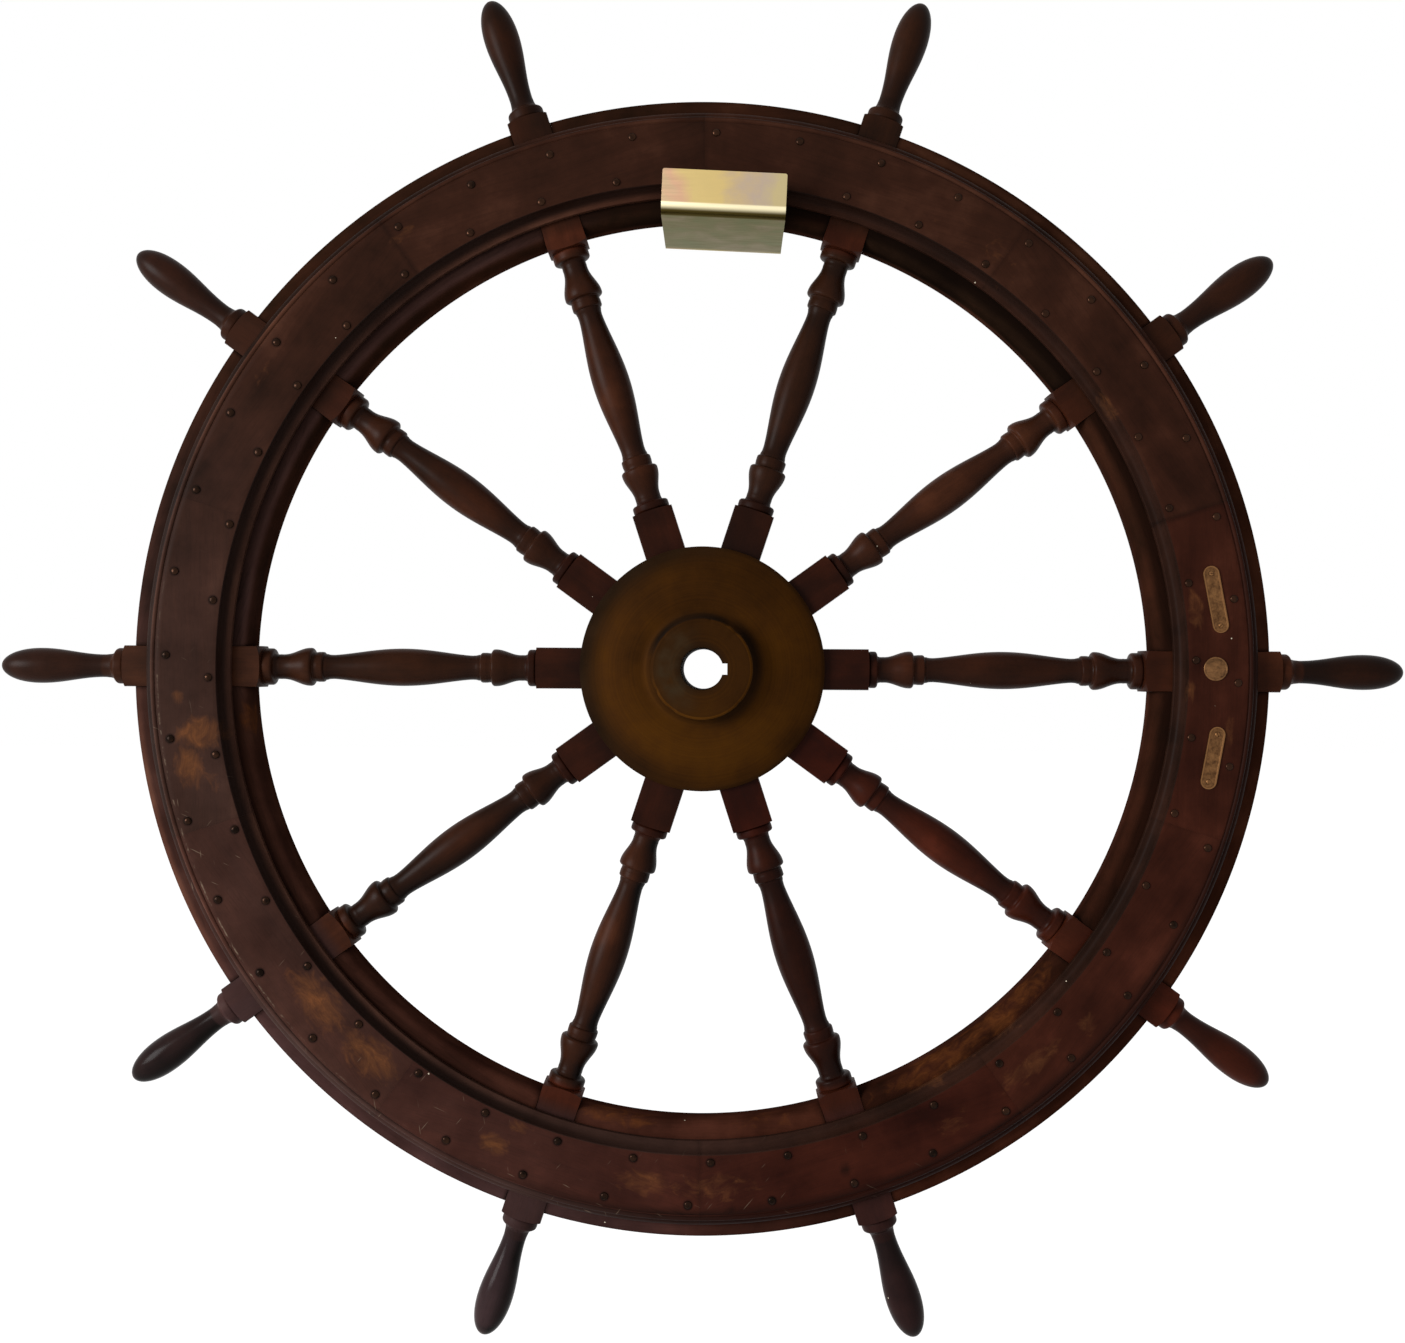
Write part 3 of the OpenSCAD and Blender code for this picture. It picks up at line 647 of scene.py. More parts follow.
def spokeProfile():
    neck, belly, grip, gripNeck, flat = (spoke[key] / 2 for key in
                                         ("neck", "belly", "grip", "gripNeck", "collar"))
    hubEnd, rimStart, outerEnd, tip = (spoke[key] for key in
                                       ("hubSquareEnd", "rimSquareStart", "outerSquareEnd", "handleTip"))
    fade, edge = squareReach - flat + 1, spoke["handleRound"]
    byHub, byRim = turnedEnd(*spoke["byHub"]), turnedEnd(*spoke["byRim"])
    bellyStart, bellyEnd = hubEnd + byHub[-1][1] + 4, rimStart - byRim[-1][1] - 4
    neckStart, gripAt = outerEnd + spoke["handleCollar"], tip - spoke["gripFromTip"]
    middle = (bellyStart + bellyEnd) / 2
    points = [(squareReach, spoke["sleeve"] + 20 * i) for i in range(7)]
    points += arc((flat - 1, hubEnd - spoke["hubFade"]), (fade, spoke["hubFade"]), 0, 90, 6)
    points += [(r, hubEnd + x) for r, x in byHub]
    points += swell(bellyStart, neck, middle, belly, spoke["bellyFullness"])
    points += swell(bellyEnd, neck, middle, belly, spoke["bellyFullness"])[-2::-1]
    points += [(r, rimStart - x) for r, x in reversed(byRim)]
    points += arc((flat - 1, rimStart + spoke["rimFade"]), (fade, spoke["rimFade"]), -90, 0, 8)
    inRim = rimStart + 12, outerEnd - spoke["outerFade"] - 2
    points += [(squareReach, inRim[0] + (inRim[1] - inRim[0]) * i / 6) for i in range(7)]
    points += arc((flat - 1, outerEnd - spoke["outerFade"]), (fade, spoke["outerFade"]), 0, 90, 8)
    points += arc((flat - 4, outerEnd + edge), (edge, edge), -50, 0, 4)
    points += arc((flat - 4, neckStart - edge), (edge, edge), 0, 75, 6)
    points += [(gripNeck + 2, neckStart + 2), (gripNeck + 1.3, neckStart + 3.5),
               (gripNeck + 0.7, neckStart + 5.5)]
    points += swell(neckStart + 12, gripNeck, gripAt, grip, spoke["gripFullness"])
    for i in range(1, 21):
        t = math.sin(math.pi / 40 * i)
        points.append((grip * max(0, 1 - t ** spoke["tipFullness"]) ** 0.5, gripAt + (tip - gripAt) * t))
    return points


def squareRadius(angle):
    # distance from the spoke's axis to the side or rounded corner of its square
    off = abs((angle + math.pi / 4) % (math.pi / 2) - math.pi / 4)
    half, flat = spoke["side"] / 2, spoke["side"] / 2 - spoke["arris"]
    if half * math.tan(off) <= flat:
        return half / math.cos(off)
    reach = flat * (math.cos(off) + math.sin(off))
    return reach + math.sqrt(reach * reach - 2 * flat * flat + spoke["arris"] ** 2)


def squareUp(bm):
    # draws the widest parts of the lathe shape in to a square, with arched ends where the turning begins
    base = spoke["collar"] / 2 - 1
    width = squareReach - base
    ends = [(spoke["hubSquareEnd"] - spoke["hubFade"], spoke["hubFade"]),
            (spoke["rimSquareStart"] + spoke["rimFade"], -spoke["rimFade"]),
            (spoke["outerSquareEnd"] - spoke["outerFade"], spoke["outerFade"])]
    for v in bm.verts:
        radius, angle = math.hypot(v.co.y, v.co.z), math.atan2(v.co.z, v.co.y)
        angle -= 0.15 * math.sin(4 * angle)      # closer steps at the square's corners
        if radius > base:
            limit = squareRadius(angle)
            for start, length in ends:
                share = (v.co.x - start) / length
                if 0 <= share <= 1.0001 and radius < squareReach + 0.001:
                    cross = math.acos((limit - base) / width)
                    sweep = cross + (math.pi / 2 - cross) * math.asin(min(1, share)) / (math.pi / 2)
                    radius = base + width * math.cos(sweep)
                    v.co.x = start + length * math.sin(sweep)
                    break
            radius = min(radius, limit)
        v.co.y, v.co.z = radius * math.cos(angle), radius * math.sin(angle)


# How light each part of the ten spokes is, how red and polished they are, where a grey painted sheen lies,
# and how much painted shade
spokeTones = {
    "hubSquare": [-0.21, -0.16, -0.32, -0.23, -0.19, -0.23, -0.26, -0.2, -0.2, -0.13],
    "belly": [-0.08, 0.01, -0.17, -0.09, -0.1, -0.06, -0.16, -0.07, -0.22, -0.06],
    "rimSquare": [-0.12, -0.04, -0.05, 0.02, -0.02, 0, 0.07, 0.11, 0.04, 0.07],
    "outerSquare": [0.05, -0.12, -0.22, -0.24, -0.13, -0.03, -0.05, -0.15, -0.11, -0.06],
    "grip": [-0.28, -0.12, -0.13, -0.19, -0.11, -0.14, -0.4, -0.22, -0.3, -0.05],
    "red": [0.2, 0.1, 0, 0.1, 0.1, 0, 0.1, 0.1, 0.6, 0.8],
    "squareRed": [0.35, 0.3, 0.5, 0.4, 0.3, 0, 0.2, 0.6, 0.6, 0.6],
    "squareSheen": [0, 0, 0, 0, 0, 0, 0.7, 0.55, 0.3, 0],
    "gripSheen": [0, 0, 0, 0, 0.1, 0.1, 0.3, 0.9, 0.3, 0],
    "polish": [0.3, 0.3, 0.2, 0.2, 0.3, 0.4, 0.9, 1, 0.5, 0.3],
    "bellyShade": [0.5, 0.3, 0.1, 0.1, 0.1, 0.5, 0.7, 0.9, 0.2, 0.3],
    "gripShade": [0.4, 0.2, 0.2, 0, 0.3, 0.4, 1, 1, 0.5, 0.3],
}
# Where the parts that are toned apart begin along a spoke
spokeParts = {"belly": 192, "rimSquare": 468, "outerSquare": 500, "grip": 650}
# Darkening, painted shade, wear and a partly painted highlight on every spoke: where none, where full (in mm,
# or as a share of the way round) and how strong
spokeWear = {
    "neckDarkening": (16.5, 13, 0.45), "squareDarkening": (12, 0, 0.3), "shadedSide": (-0.1, 0.9, 1),
    "wornTip": (750, 761, 0.42), "lightBelly": (17, 20, 0.03), "squareDarkeningAt": 131, "shadedTurn": 35,
    "hubRed": 0.4, "bellyPolish": 0.3, "rimSquareWorn": 2,
}


def spokeMarks(k):
    # the necks are darker, the squares by the hub are dark, those by the rim red, the tips are worn, and
    # painted shade lies on the lower right
    tones = {part: values[k - 1] for part, values in spokeTones.items()}
    wear = spokeWear
    lean = math.sin(math.radians(pitch * (k - 1) + wear["shadedTurn"]))

    def marksAt(co):
        radius = math.hypot(co.y, co.z)
        # darker in the narrow necks and on the squares near the hub flange's edge
        grimeAndShade = fadeIn(wear["neckDarkening"], radius)
        grimeAndShade += fadeIn(wear["squareDarkening"], abs(co.x - wear["squareDarkeningAt"]))
        # painted shade on the side to the lower right, away from the light
        low = fadeIn(wear["shadedSide"], -lean * co.y / max(radius, 1))
        # the grips and outer squares of the lower-left spokes carry a cool grey painted sheen
        if co.x > spokeParts["grip"]:
            grimeAndShade += tones["gripShade"] * low
            worn = fadeIn(wear["wornTip"], co.x)
            return worn, grimeAndShade, tones["polish"], tones["grip"], tones["red"], tones["gripSheen"]
        if co.x > spokeParts["outerSquare"]:
            return 0, grimeAndShade, 0, tones["outerSquare"], tones["red"], tones["squareSheen"]
        if co.x > spokeParts["rimSquare"]:
            worn = wear["rimSquareWorn"] * max(0, tones["rimSquare"])
            return worn, grimeAndShade, 0, tones["rimSquare"], tones["squareRed"], 0
        if co.x < spokeParts["belly"]:
            return 0, grimeAndShade, 0, tones["hubSquare"], tones["red"] + wear["hubRed"], 0
        # painted shade on the belly's lower right side; its widest part is lighter, partly rubbed and partly
        # a painted highlight
        grimeAndShade += tones["bellyShade"] * low
        pale = tones["belly"] + fadeIn(wear["lightBelly"], radius)
        return 0, grimeAndShade, wear["bellyPolish"], pale, tones["red"], 0
    return marksAt


for k in range(1, spokeCount + 1):
    bm = bmesh.new()
    drawLine(bm, [(station, radius, 0) for radius, station in spokeProfile()])
    spinRound(bm, (1, 0, 0), steps=spoke["steps"])
    squareUp(bm)
    closeHoles(bm)
    for side in (1, -1):
        trim(bm, (0, 0, 0), pitchEnd(side))
    paintWood(bm, spokeMarks(k), across=False)
    finishPiece(bm, f"turnedSpoke_{k}", [f"spoke_{k}"], "wheel", spokeWood,
                turn=pitch * (k - 1))
print("spokes made")

# The rim: felloes between the spokes, a moulded facing ring on each side
rim = {
    "outer": boxMm("felloe_3")[1].z, "inner": 487, "round": 11, "halfDepth": 22.225,
    "facingOuter": 595.5, "facingInner": 505.5, "facingDepth": 20, "faceOuter": 580.5, "faceInner": 517,
    "bead": 2.8, "stepDegrees": 0.5, "spacing": 4.5, "joint": 0.04, "jointDark": 1.4, "fit": 0.01,
}
rimFront = rim["halfDepth"] + rim["facingDepth"]
# Where the varnish has gone from the front of the rim: angle, radius, length, width and strength
wornPatches = [
    (183.3, 559, 16, 18, 0.6), (187.6, 536, 36, 54, 0.85), (191.2, 555, 52, 30, 0.8),
    (193.3, 532, 40, 16, 0.35), (221.3, 540, 84, 44, 0.7), (229.8, 542, 74, 44, 0.75),
    (246.6, 551, 36, 24, 0.75), (248.5, 523, 28, 14, 0.65), (263.3, 549, 70, 32, 0.45),
    (272.3, 549, 120, 34, 0.42), (299.3, 549, 46, 32, 0.4), (310.3, 547, 90, 26, 0.5),
    (317.8, 558, 36, 22, 0.5), (352.8, 563, 52, 16, 0.55), (6.8, 528, 52, 20, 0.55),
    (357.8, 521, 34, 12, 0.5), (33.3, 513, 42, 18, 0.45), (57.3, 548, 110, 70, 0.25),
    (124.8, 560, 36, 18, 0.45), (146.8, 560, 36, 18, 0.45), (186.3, 492, 44, 26, 0.6),
    (260.3, 492, 110, 18, 0.45), (300.3, 495, 210, 30, 0.5), (308.8, 495, 90, 32, 0.55),
    (316.3, 492, 100, 22, 0.5), (278.3, 492, 80, 20, 0.4),
]
# Single dark marks on the face: angle, radius, size and strength
darkSpots = [(273.4, 575.8, 7, 0.9), (286.3, 553, 8, 0.7)]
# Half-way joints between facings that show as a dark line, and how strongly
facingJoints = {18: 0.45, 54: 0.2, 90: 0.2, 126: 0.35, 270: 0.2}
# How light and how red each facing is
facingTints = [
    (0, 0.4), (0.02, 0), (0.02, 0), (-0.03, 0), (-0.08, 0.05), (-0.04, 0), (-0.05, 0.3), (-0.09, 0.65),
    (-0.09, 0.6), (-0.03, 0.35),
]
# How light each felloe's inner and outer margins are
felloeTones = [(-0.08, 0.08), (-0.32, 0.1), (-0.2, -0.11), (0.03, -0.13), (0.02, -0.2), (0.04, -0.03),
               (0.03, -0.09), (0.07, -0.1), (-0.06, 0.03), (-0.14, 0.01)]
# Marks that lie on one side of the rim, many of them painted light, shade and sheen: middle angle, how far
# from it they end and are full, and strength
rimSides = {
    "hollowGrey": (195, 100, 60, 0.4), "hollowDark": (14, 75, 45, 0.16), "hollowShade": (145, 115, 90, 0.62),
    "hollowLight": (165, 110, 40, 0.22), "beadUnshaded": (135, 130, 105, 1), "mouldingSheen": (238, 42, 15, 0.9),
    "outerCrestDark": (158, 60, 25, 0.16), "beadFlankLight": (175, 50, 30, 0.16),
    "beadTopLight": (118, 120, 90, 0.1), "faceGrime": (293, 55, 30, 0.75), "crestGlint": (203, 38, 12, 1),
    "cornerUndarkened": (290, 60, 30, 0.7), "innerWallDark": (145, 45, 25, 1), "marginSheen": (238, 42, 15, 0.8),
    "edgeHighlight": (198, 18, 8, 0.2),
}


# Where the rim's parts begin, in mm past the face's edge or above the felloes, and how each is marked with
# wear, dirt, painted light and painted shade
rimWear = {
    "atJoint": 0.2, "litSide": 212, "pale": 0.03, "dustAndSheen": (0.3, 1, 0.45), "redSide": 300, "red": (0.1, 0.3),
    "bead": 0.8, "flank": 4.6, "crest": 7, "crestDark": 0.05, "beadTop": 14.5, "face": 19, "rubbedAbove": 8,
    "hollowRed": -1, "hollowGrey": 0.08, "hollowDeep": (2.5, 8.5, 1), "faceEdge": (572, 579, 1),
    "beadShade": 0.65, "felloeRed": (0.2, 0.55), "felloeRedSide": 290, "felloeSheen": (0.2, 1, 0.4),
    "felloeSheenSide": 218, "besideSquare": (5, 0.5, 0.75), "innerMargin": 550, "innerDirtAndShade": 0.75,
    "innerDirtAndShadeAt": (490, 501, 1), "ridgeAt": (489, 496, 1), "ridgeLight": 0.18, "wallDark": 0.13,
    "ridgeSheen": 0.7, "outerEdge": (601, 606, 1),
}


def wearAt(angle, radius):
    # strongest worn patch at a place on the rim's front
    found = 0
    for centre, middle, length, width, strength in wornPatches:
        across = (radius - middle) / width * 2
        if abs(across) < 1.8:
            along = turnBetween(angle, centre) * math.radians(radius) / length * 2
            found = max(found, strength * (1 - smoothStep(0.3, 1.6, math.hypot(along, across))))
    return found


def facingMarks(at, front):
    look = rimWear

    def marksAt(co):
        radius, off = math.hypot(co.x, co.y), flatAngle(co)
        angle, height = (at + off) % 360, co.z - rim["halfDepth"]
        pastFace = radius - rim["faceOuter"]
        atJoint = abs(off) > pitch / 2 - look["atJoint"]
        red = look["red"][0] + look["red"][1] * leaning(angle, look["redSide"])
        if not front:
            return 0, 0.4 if atJoint else 0.1, 0, 0, red, 0.1
        # lighter and greyer to the lower left: painted light and a painted sheen
        tone = look["pale"] * leaning(angle, look["litSide"])
        dustAndSheen = fadeIn(look["dustAndSheen"], leaning(angle, look["litSide"]))
        grimeAndShade = facingJoints.get(round(angle), 0.1) if atJoint and height > 1 else 0
        for centre, middle, size, strength in darkSpots:
            away = math.hypot(turnBetween(angle, centre) * math.radians(radius), radius - middle)
            grimeAndShade = max(grimeAndShade, strength * (1 - smoothStep(size / 3, size, away)))
        if radius < rim["faceInner"] - 0.2:
            # the hollow moulding is a greyer brown, darker on the right, with painted shade deep in it on the
            # upper left and a painted highlight on its inner edge at the left
            red, dustAndSheen = look["hollowRed"], look["hollowGrey"] + onSide(rimSides["hollowGrey"], angle)
            deep = fadeIn(look["hollowDeep"], radius - rim["facingInner"])
            grimeAndShade = max(grimeAndShade, onSide(rimSides["hollowShade"], angle) * deep)
            tone += onSide(rimSides["hollowLight"], angle) * (1 - deep)
            tone -= onSide(rimSides["hollowDark"], angle)
        if pastFace > look["bead"]:
            # the bead has painted highlights at the top and left, painted shade at the lower right and a grey
            # painted sheen at the lower left
            dustAndSheen = max(dustAndSheen, onSide(rimSides["mouldingSheen"], angle))
            if pastFace > look["crest"]:
                tone -= look["crestDark"] + onSide(rimSides["outerCrestDark"], angle)
            elif pastFace > look["flank"]:
                tone += onSide(rimSides["beadFlankLight"], angle)
            elif height > look["beadTop"]:
                tone += onSide(rimSides["beadTopLight"], angle)
            grimeAndShade = max(grimeAndShade, look["beadShade"] * (1 - onSide(rimSides["beadUnshaded"], angle)))
        elif height > look["face"]:
            grimeAndShade = max(grimeAndShade, onSide(rimSides["faceGrime"], angle) * fadeIn(look["faceEdge"], radius))
        # pale glints painted on the crests at the left, over rubbed wear
        rubbed = onSide(rimSides["crestGlint"], angle) if height > look["rubbedAbove"] else 0
        return wearAt(angle, radius), grimeAndShade, rubbed, tone, red, dustAndSheen
    return marksAt


def felloeMarks(k):
    innerTone, outerTone = felloeTones[k - 1]
    look = rimWear

    def marksAt(co):
        radius, off = math.hypot(co.x, co.y), flatAngle(co)
        angle = (pitch * (k - 0.5) + off) % 360
        # lighter and greyer to the lower left: painted light and a painted sheen
        tone = look["pale"] * leaning(angle, look["litSide"])
        red = look["felloeRed"][0] + look["felloeRed"][1] * leaning(angle, look["felloeRedSide"])
        dustAndSheen = fadeIn(look["felloeSheen"], leaning(angle, look["felloeSheenSide"]))
        if co.z < 0:
            return 0, 0.1, 0, tone, red, 0.1
        wear = wearAt(angle, radius)
        # dirt and painted shade lie against the facing, and a painted shadow beside the spokes' squares
        besideSquare = radius * math.sin(math.radians(pitch / 2 - abs(off))) - spoke["side"] / 2
        grimeAndShade = fadeIn(look["besideSquare"], besideSquare)
        if radius < look["innerMargin"]:
            dirtAndShade = look["innerDirtAndShade"] - onSide(rimSides["cornerUndarkened"], angle)
            grimeAndShade = max(grimeAndShade, dirtAndShade * fadeIn(look["innerDirtAndShadeAt"], radius))
            # at the upper left a dark inner edge turns into a lighter ridge: painted shade on the edge, and a
            # painted highlight with a grey painted sheen on the ridge
            upperLeft = onSide(rimSides["innerWallDark"], angle)
            ridge = fadeIn(look["ridgeAt"], radius)
            tone += upperLeft * (look["ridgeLight"] * ridge - look["wallDark"])
            dustAndSheen = 0.5 * dustAndSheen + look["ridgeSheen"] * upperLeft * ridge
            return wear, grimeAndShade, 0, tone + innerTone, red * (1 - upperLeft), dustAndSheen
        # its outer edge has a painted highlight on the left, and a grey painted sheen lies on the outer
        # margin at the lower left
        dustAndSheen = max(dustAndSheen, onSide(rimSides["marginSheen"], angle))
        tone += onSide(rimSides["edgeHighlight"], angle) * fadeIn(look["outerEdge"], radius)
        return wear, grimeAndShade, 0, tone + outerTone, red, dustAndSheen
    return marksAt


def facingSection():
    # cross-section as (radius, height above the felloes), from the inner foot round the outside
    inner, outer, faceIn, faceOut, depth, bead = (rim[key] for key in (
        "facingInner", "facingOuter", "faceInner", "faceOuter", "facingDepth", "bead"))
    points = [(inner, 0), (outer, 0)] + arc((outer - 7, 3), (7, 9), 0, 90, 8) + [(outer - 8.5, 10.5)]
    points += arc((faceOut + 1 + bead, depth - bead), (bead, bead), -50, 150, 12)
    points += [(faceOut + 0.6, depth - 1.2), (faceOut - 0.2, depth - 0.25), (faceOut - 0.8, depth)]
    points += [(faceIn + 0.3, depth), (faceIn - 0.4, depth - 0.2), (faceIn - 0.8, depth - 0.8)]
    points += arc((inner + 3.5, depth - 0.8), (faceIn - inner - 4.3, depth - 6.8), 0, -90, 10)
    return points + [(inner + 0.5, 6), (inner, 5.5)]


def rimSegment(section, spacing, gap, darkLine=0):
    # sweeps a section of (radius, height) round one pitch and cuts both ends back by the gap
    bm = bmesh.new()
    edges = drawLine(bm, [turned(-pitch / 2) @ Vector((r, 0, h)) for r, h in section], closed=True)
    divideEdges(bm, edges, spacing)
    spinRound(bm, (0, 0, 1), angle=pitch, steps=int(pitch / rim["stepDegrees"]))
    closeHoles(bm)
    for side in (1, -1):
        trim(bm, pitchEnd(side) * -gap, pitchEnd(side))
        if darkLine:
            cutThrough(bm, pitchEnd(side) * -darkLine, pitchEnd(side))
    return bm


def makeFacing(k, side):
    section = [(r, rim["halfDepth"] + h) for r, h in facingSection()]
    bm = rimSegment(section, rim["spacing"], rim["joint"], rim["jointDark"])
    paintWood(bm, facingMarks(pitch * (k - 1), side == "front"), *facingTints[k - 1])
    if side == "back":
        bmesh.ops.scale(bm, vec=(1, 1, -1), verts=bm.verts[:])
    finishPiece(bm, f"{side}Facing_{k}", [f"{side}_facing_{k}"], "wheel", facingWood,
                turn=pitch * (k - 1))


def makeFelloe(k):
    inner, outer, half, e = rim["inner"], rim["outer"], rim["halfDepth"], rim["round"]
    section = []
    for r, h, start in ((inner + e, e - half, -90), (inner + e, half - e, 180), (outer - e, half - e, 90),
                        (outer - e, e - half, 0)):
        section += arc((r, h), (e, e), start, start - 90, 8)
    bm = rimSegment(section, rim["spacing"] * 2, spoke["side"] / 2 + rim["fit"])
    paintWood(bm, felloeMarks(k))
    finishPiece(bm, f"rimFelloe_{k}", [f"felloe_{k}"], "wheel", felloeWood,
                turn=pitch * (k - 0.5))


for k in range(1, spokeCount + 1):
    makeFelloe(k)
    makeFacing(k, "front")
    makeFacing(k, "back")
print("rim made")

# The hub: a domed front flange with its keyed sleeve, and a flat back flange
hub = {
    "flange": boxMm("hub_front")[1].x, "end": -boxMm("hub_front")[0].y, "boss": 53.5, "bore": 22.225,
    "keyHalf": 6.35, "keyDeep": 4.8, "boreEdge": 0.9, "bossRound": 3, "sleeve": 36, "sleeveFit": 0.15,
    "edge": 7, "dome": 17, "domeFullness": 2.2, "cove": 12, "backFlange": 10, "backCove": 8, "steps": 144,
}
# Dings on the rim of the front boss: angle, reach and depth
bossDings = [
    (48, 7, 1.3), (61, 4, 0.8), (80, 3, 0.9), (205, 6, 1.1), (232, 9, 0.9), (140, 4, 0.6), (318, 5, 0.7),
]


# Marks on one side of the hub, as on the rim, among them a painted shadow and highlight, and marks by radius:
# where none, where full and how strong
hubSides = {
    "film": (150, 90, 30, 0.5), "aboveBoss": (112, 65, 40, 0.8), "bossShadow": (-12, 85, 45, 0.7),
    "edgeDark": (170, 120, 40, 0.7), "bossDust": (180, 95, 35, 1), "lowDark": (275, 75, 30, 0.09),
    "bossRubbedHighlight": (-50, 130, 90, 1),
}
hubRings = {
    "filmEdge": (112, 131, 1), "aboveBoss": (9, 2, 1), "bossShadow": (16, 3, 1), "edgeDark": (100, 131, 1),
    "cove": (9, 1, 0.25), "rimDark": (122, 131, 0.3), "boreDark": (9, 0, 0.35), "bossDust": (-1, -8, 1),
    "lowDark": (104, 122, 1),
}
hubTones = {"low": (0.045, 250), "right": (0.035, 325), "boss": -0.09, "dome": -0.03, "bossDirt": 0.15,
            "bossRubbedHighlight": 0.2, "back": -0.05}


def hubMarks(bm, front):
    # dark patina in the cove, a painted shadow in it to the right of the boss, dark patina above the boss,
    # grey dirt on the boss's left half, darkened edges on the left, and painted shade in the bore
    marks = bm.verts.layers.float_vector.new("marks")
    for v in bm.verts:
        radius, angle = math.hypot(v.co.x, v.co.y), flatAngle(v.co)
        past = radius - hub["boss"]
        side = {mark: onSide(limits, angle) for mark, limits in hubSides.items()}
        if past > -1:
            film = side["film"] * fadeIn(hubRings["filmEdge"], radius)
            grimeAndShade = max(fadeIn(hubRings["cove"], past), fadeIn(hubRings["rimDark"], radius),
                        side["aboveBoss"] * fadeIn(hubRings["aboveBoss"], past),
                        side["bossShadow"] * fadeIn(hubRings["bossShadow"], past),
                        side["edgeDark"] * fadeIn(hubRings["edgeDark"], radius))
            pale = hubTones["dome"]
        else:
            film = side["bossDust"] * fadeIn(hubRings["bossDust"], past)
            # darker round the bore's mouth
            grimeAndShade = hubTones["bossDirt"] + fadeIn(hubRings["boreDark"], radius - hub["bore"])
            # the bore's walls are painted near-black: painted shade inside the hole
            if abs(v.co.z) < hub["end"] - 1 and radius < hub["bore"] + 6:
                grimeAndShade = 1
            pale = hubTones["boss"]
        # painted reflection: lighter towards the bottom and the lower right
        for light, centre in (hubTones["low"], hubTones["right"]):
            pale += light * leaning(angle, centre)
        pale -= side["lowDark"] * fadeIn(hubRings["lowDark"], radius)
        if past > 0.1 - hub["bossRound"] and v.co.z > hub["end"] - hub["bossRound"] - 0.1:
            # the boss's edge is rubbed bright, with a painted highlight, all round but at the upper left
            rubbed = side["bossRubbedHighlight"]
            pale += hubTones["bossRubbedHighlight"] * rubbed
            film, grimeAndShade = film * (1 - rubbed), grimeAndShade * (1 - rubbed)
        v[marks] = (film, grimeAndShade, pale) if front else (0, grimeAndShade, hubTones["back"])


def keyedCircle(bm, height):
    # the bore's outline with its keyway towards the king spoke
    verts = bmesh.ops.create_circle(bm, segments=hub["steps"], radius=hub["bore"])["verts"]
    keyAngle = math.degrees(math.asin(hub["keyHalf"] / hub["bore"]))
    step = 360 / hub["steps"]
    widest = math.floor(keyAngle / step) * step
    for v in verts:
        angle = flatAngle(v.co)
        if abs(angle) < keyAngle:
            v.co.x, v.co.y = hub["bore"] + hub["keyDeep"], hub["keyHalf"] * angle / widest
        elif abs(angle) < keyAngle + step:
            side = math.copysign(math.radians(keyAngle), angle)
            v.co.x, v.co.y = hub["bore"] * math.cos(side), hub["bore"] * math.sin(side)
        v.co.z = height
    return edgesWithin(bm.edges, verts)


def edgesWithin(edges, verts):
    within = set(verts)
    return [e for e in edges if all(v in within for v in e.verts)]


def dentBoss(bm):
    end, boss = hub["end"], hub["boss"]
    for v in bm.verts:
        radius, angle = math.hypot(v.co.x, v.co.y), flatAngle(v.co)
        if v.co.z > end - 5 and boss - 5 < radius < boss + 1:
            for centre, reach, depth in bossDings:
                away = abs(turnBetween(angle, centre)) * math.radians(boss)
                dent = depth * (1 - smoothStep(0, reach, away))
                shrink = 1 - dent / boss
                v.co.x, v.co.y, v.co.z = v.co.x * shrink, v.co.y * shrink, v.co.z - dent * 0.6


def makeHubFront():
    flange, end, boss, half = hub["flange"], hub["end"], hub["boss"], rim["halfDepth"]
    foot, cove, edge, sleeve = half + hub["edge"], hub["cove"], hub["bossRound"], hub["sleeve"]
    coveRadius = boss + cove
    points = [(30, end), (36, end), (43, end)] + arc((boss - edge, end - edge), (edge, edge), 90, 0, 7)
    points += arc((coveRadius, foot + hub["dome"] + cove), (cove, cove), -170, -100, 9)
    for i in range(31):
        t = 1 - i / 30
        points.append((flange - (flange - coveRadius) * t,
                       foot + hub["dome"] * (1 - (1 - t) ** hub["domeFullness"])))
    points[-1] = (flange - 1.5, foot + 0.4)
    points += [(flange - 0.4, foot - 0.4), (flange, foot - 1.5), (flange, half), (80, half), (sleeve, half)]
    points += [(sleeve, 1 - end), (sleeve - 1, -end), (30, -end)]
    bm = turnedPiece(points, hub["steps"])
    openEdges = [e for e in bm.edges if e.is_boundary]

    # the bore is drawn through and joined to both ends
    ring = keyedCircle(bm, end)
    drawn = bmesh.ops.extrude_edge_only(bm, edges=ring)["geom"]
    bmesh.ops.translate(bm, verts=newVerts(drawn), vec=(0, 0, -2 * end))
    far = edgesWithin(ofKind(bmesh.types.BMEdge, drawn), newVerts(drawn))
    for edges, height in ((ring, end), (far, -end)):
        mouth = [e for e in openEdges if abs(e.verts[0].co.z - height) < 0.1]
        bmesh.ops.bridge_loops(bm, edges=edges + mouth)
        soften(bm, edges, hub["boreEdge"], 2)
    dentBoss(bm)
    hubMarks(bm, True)
    finishPiece(bm, "hubFrontFlange", ["hub_front"], "wheel", hubBronze)


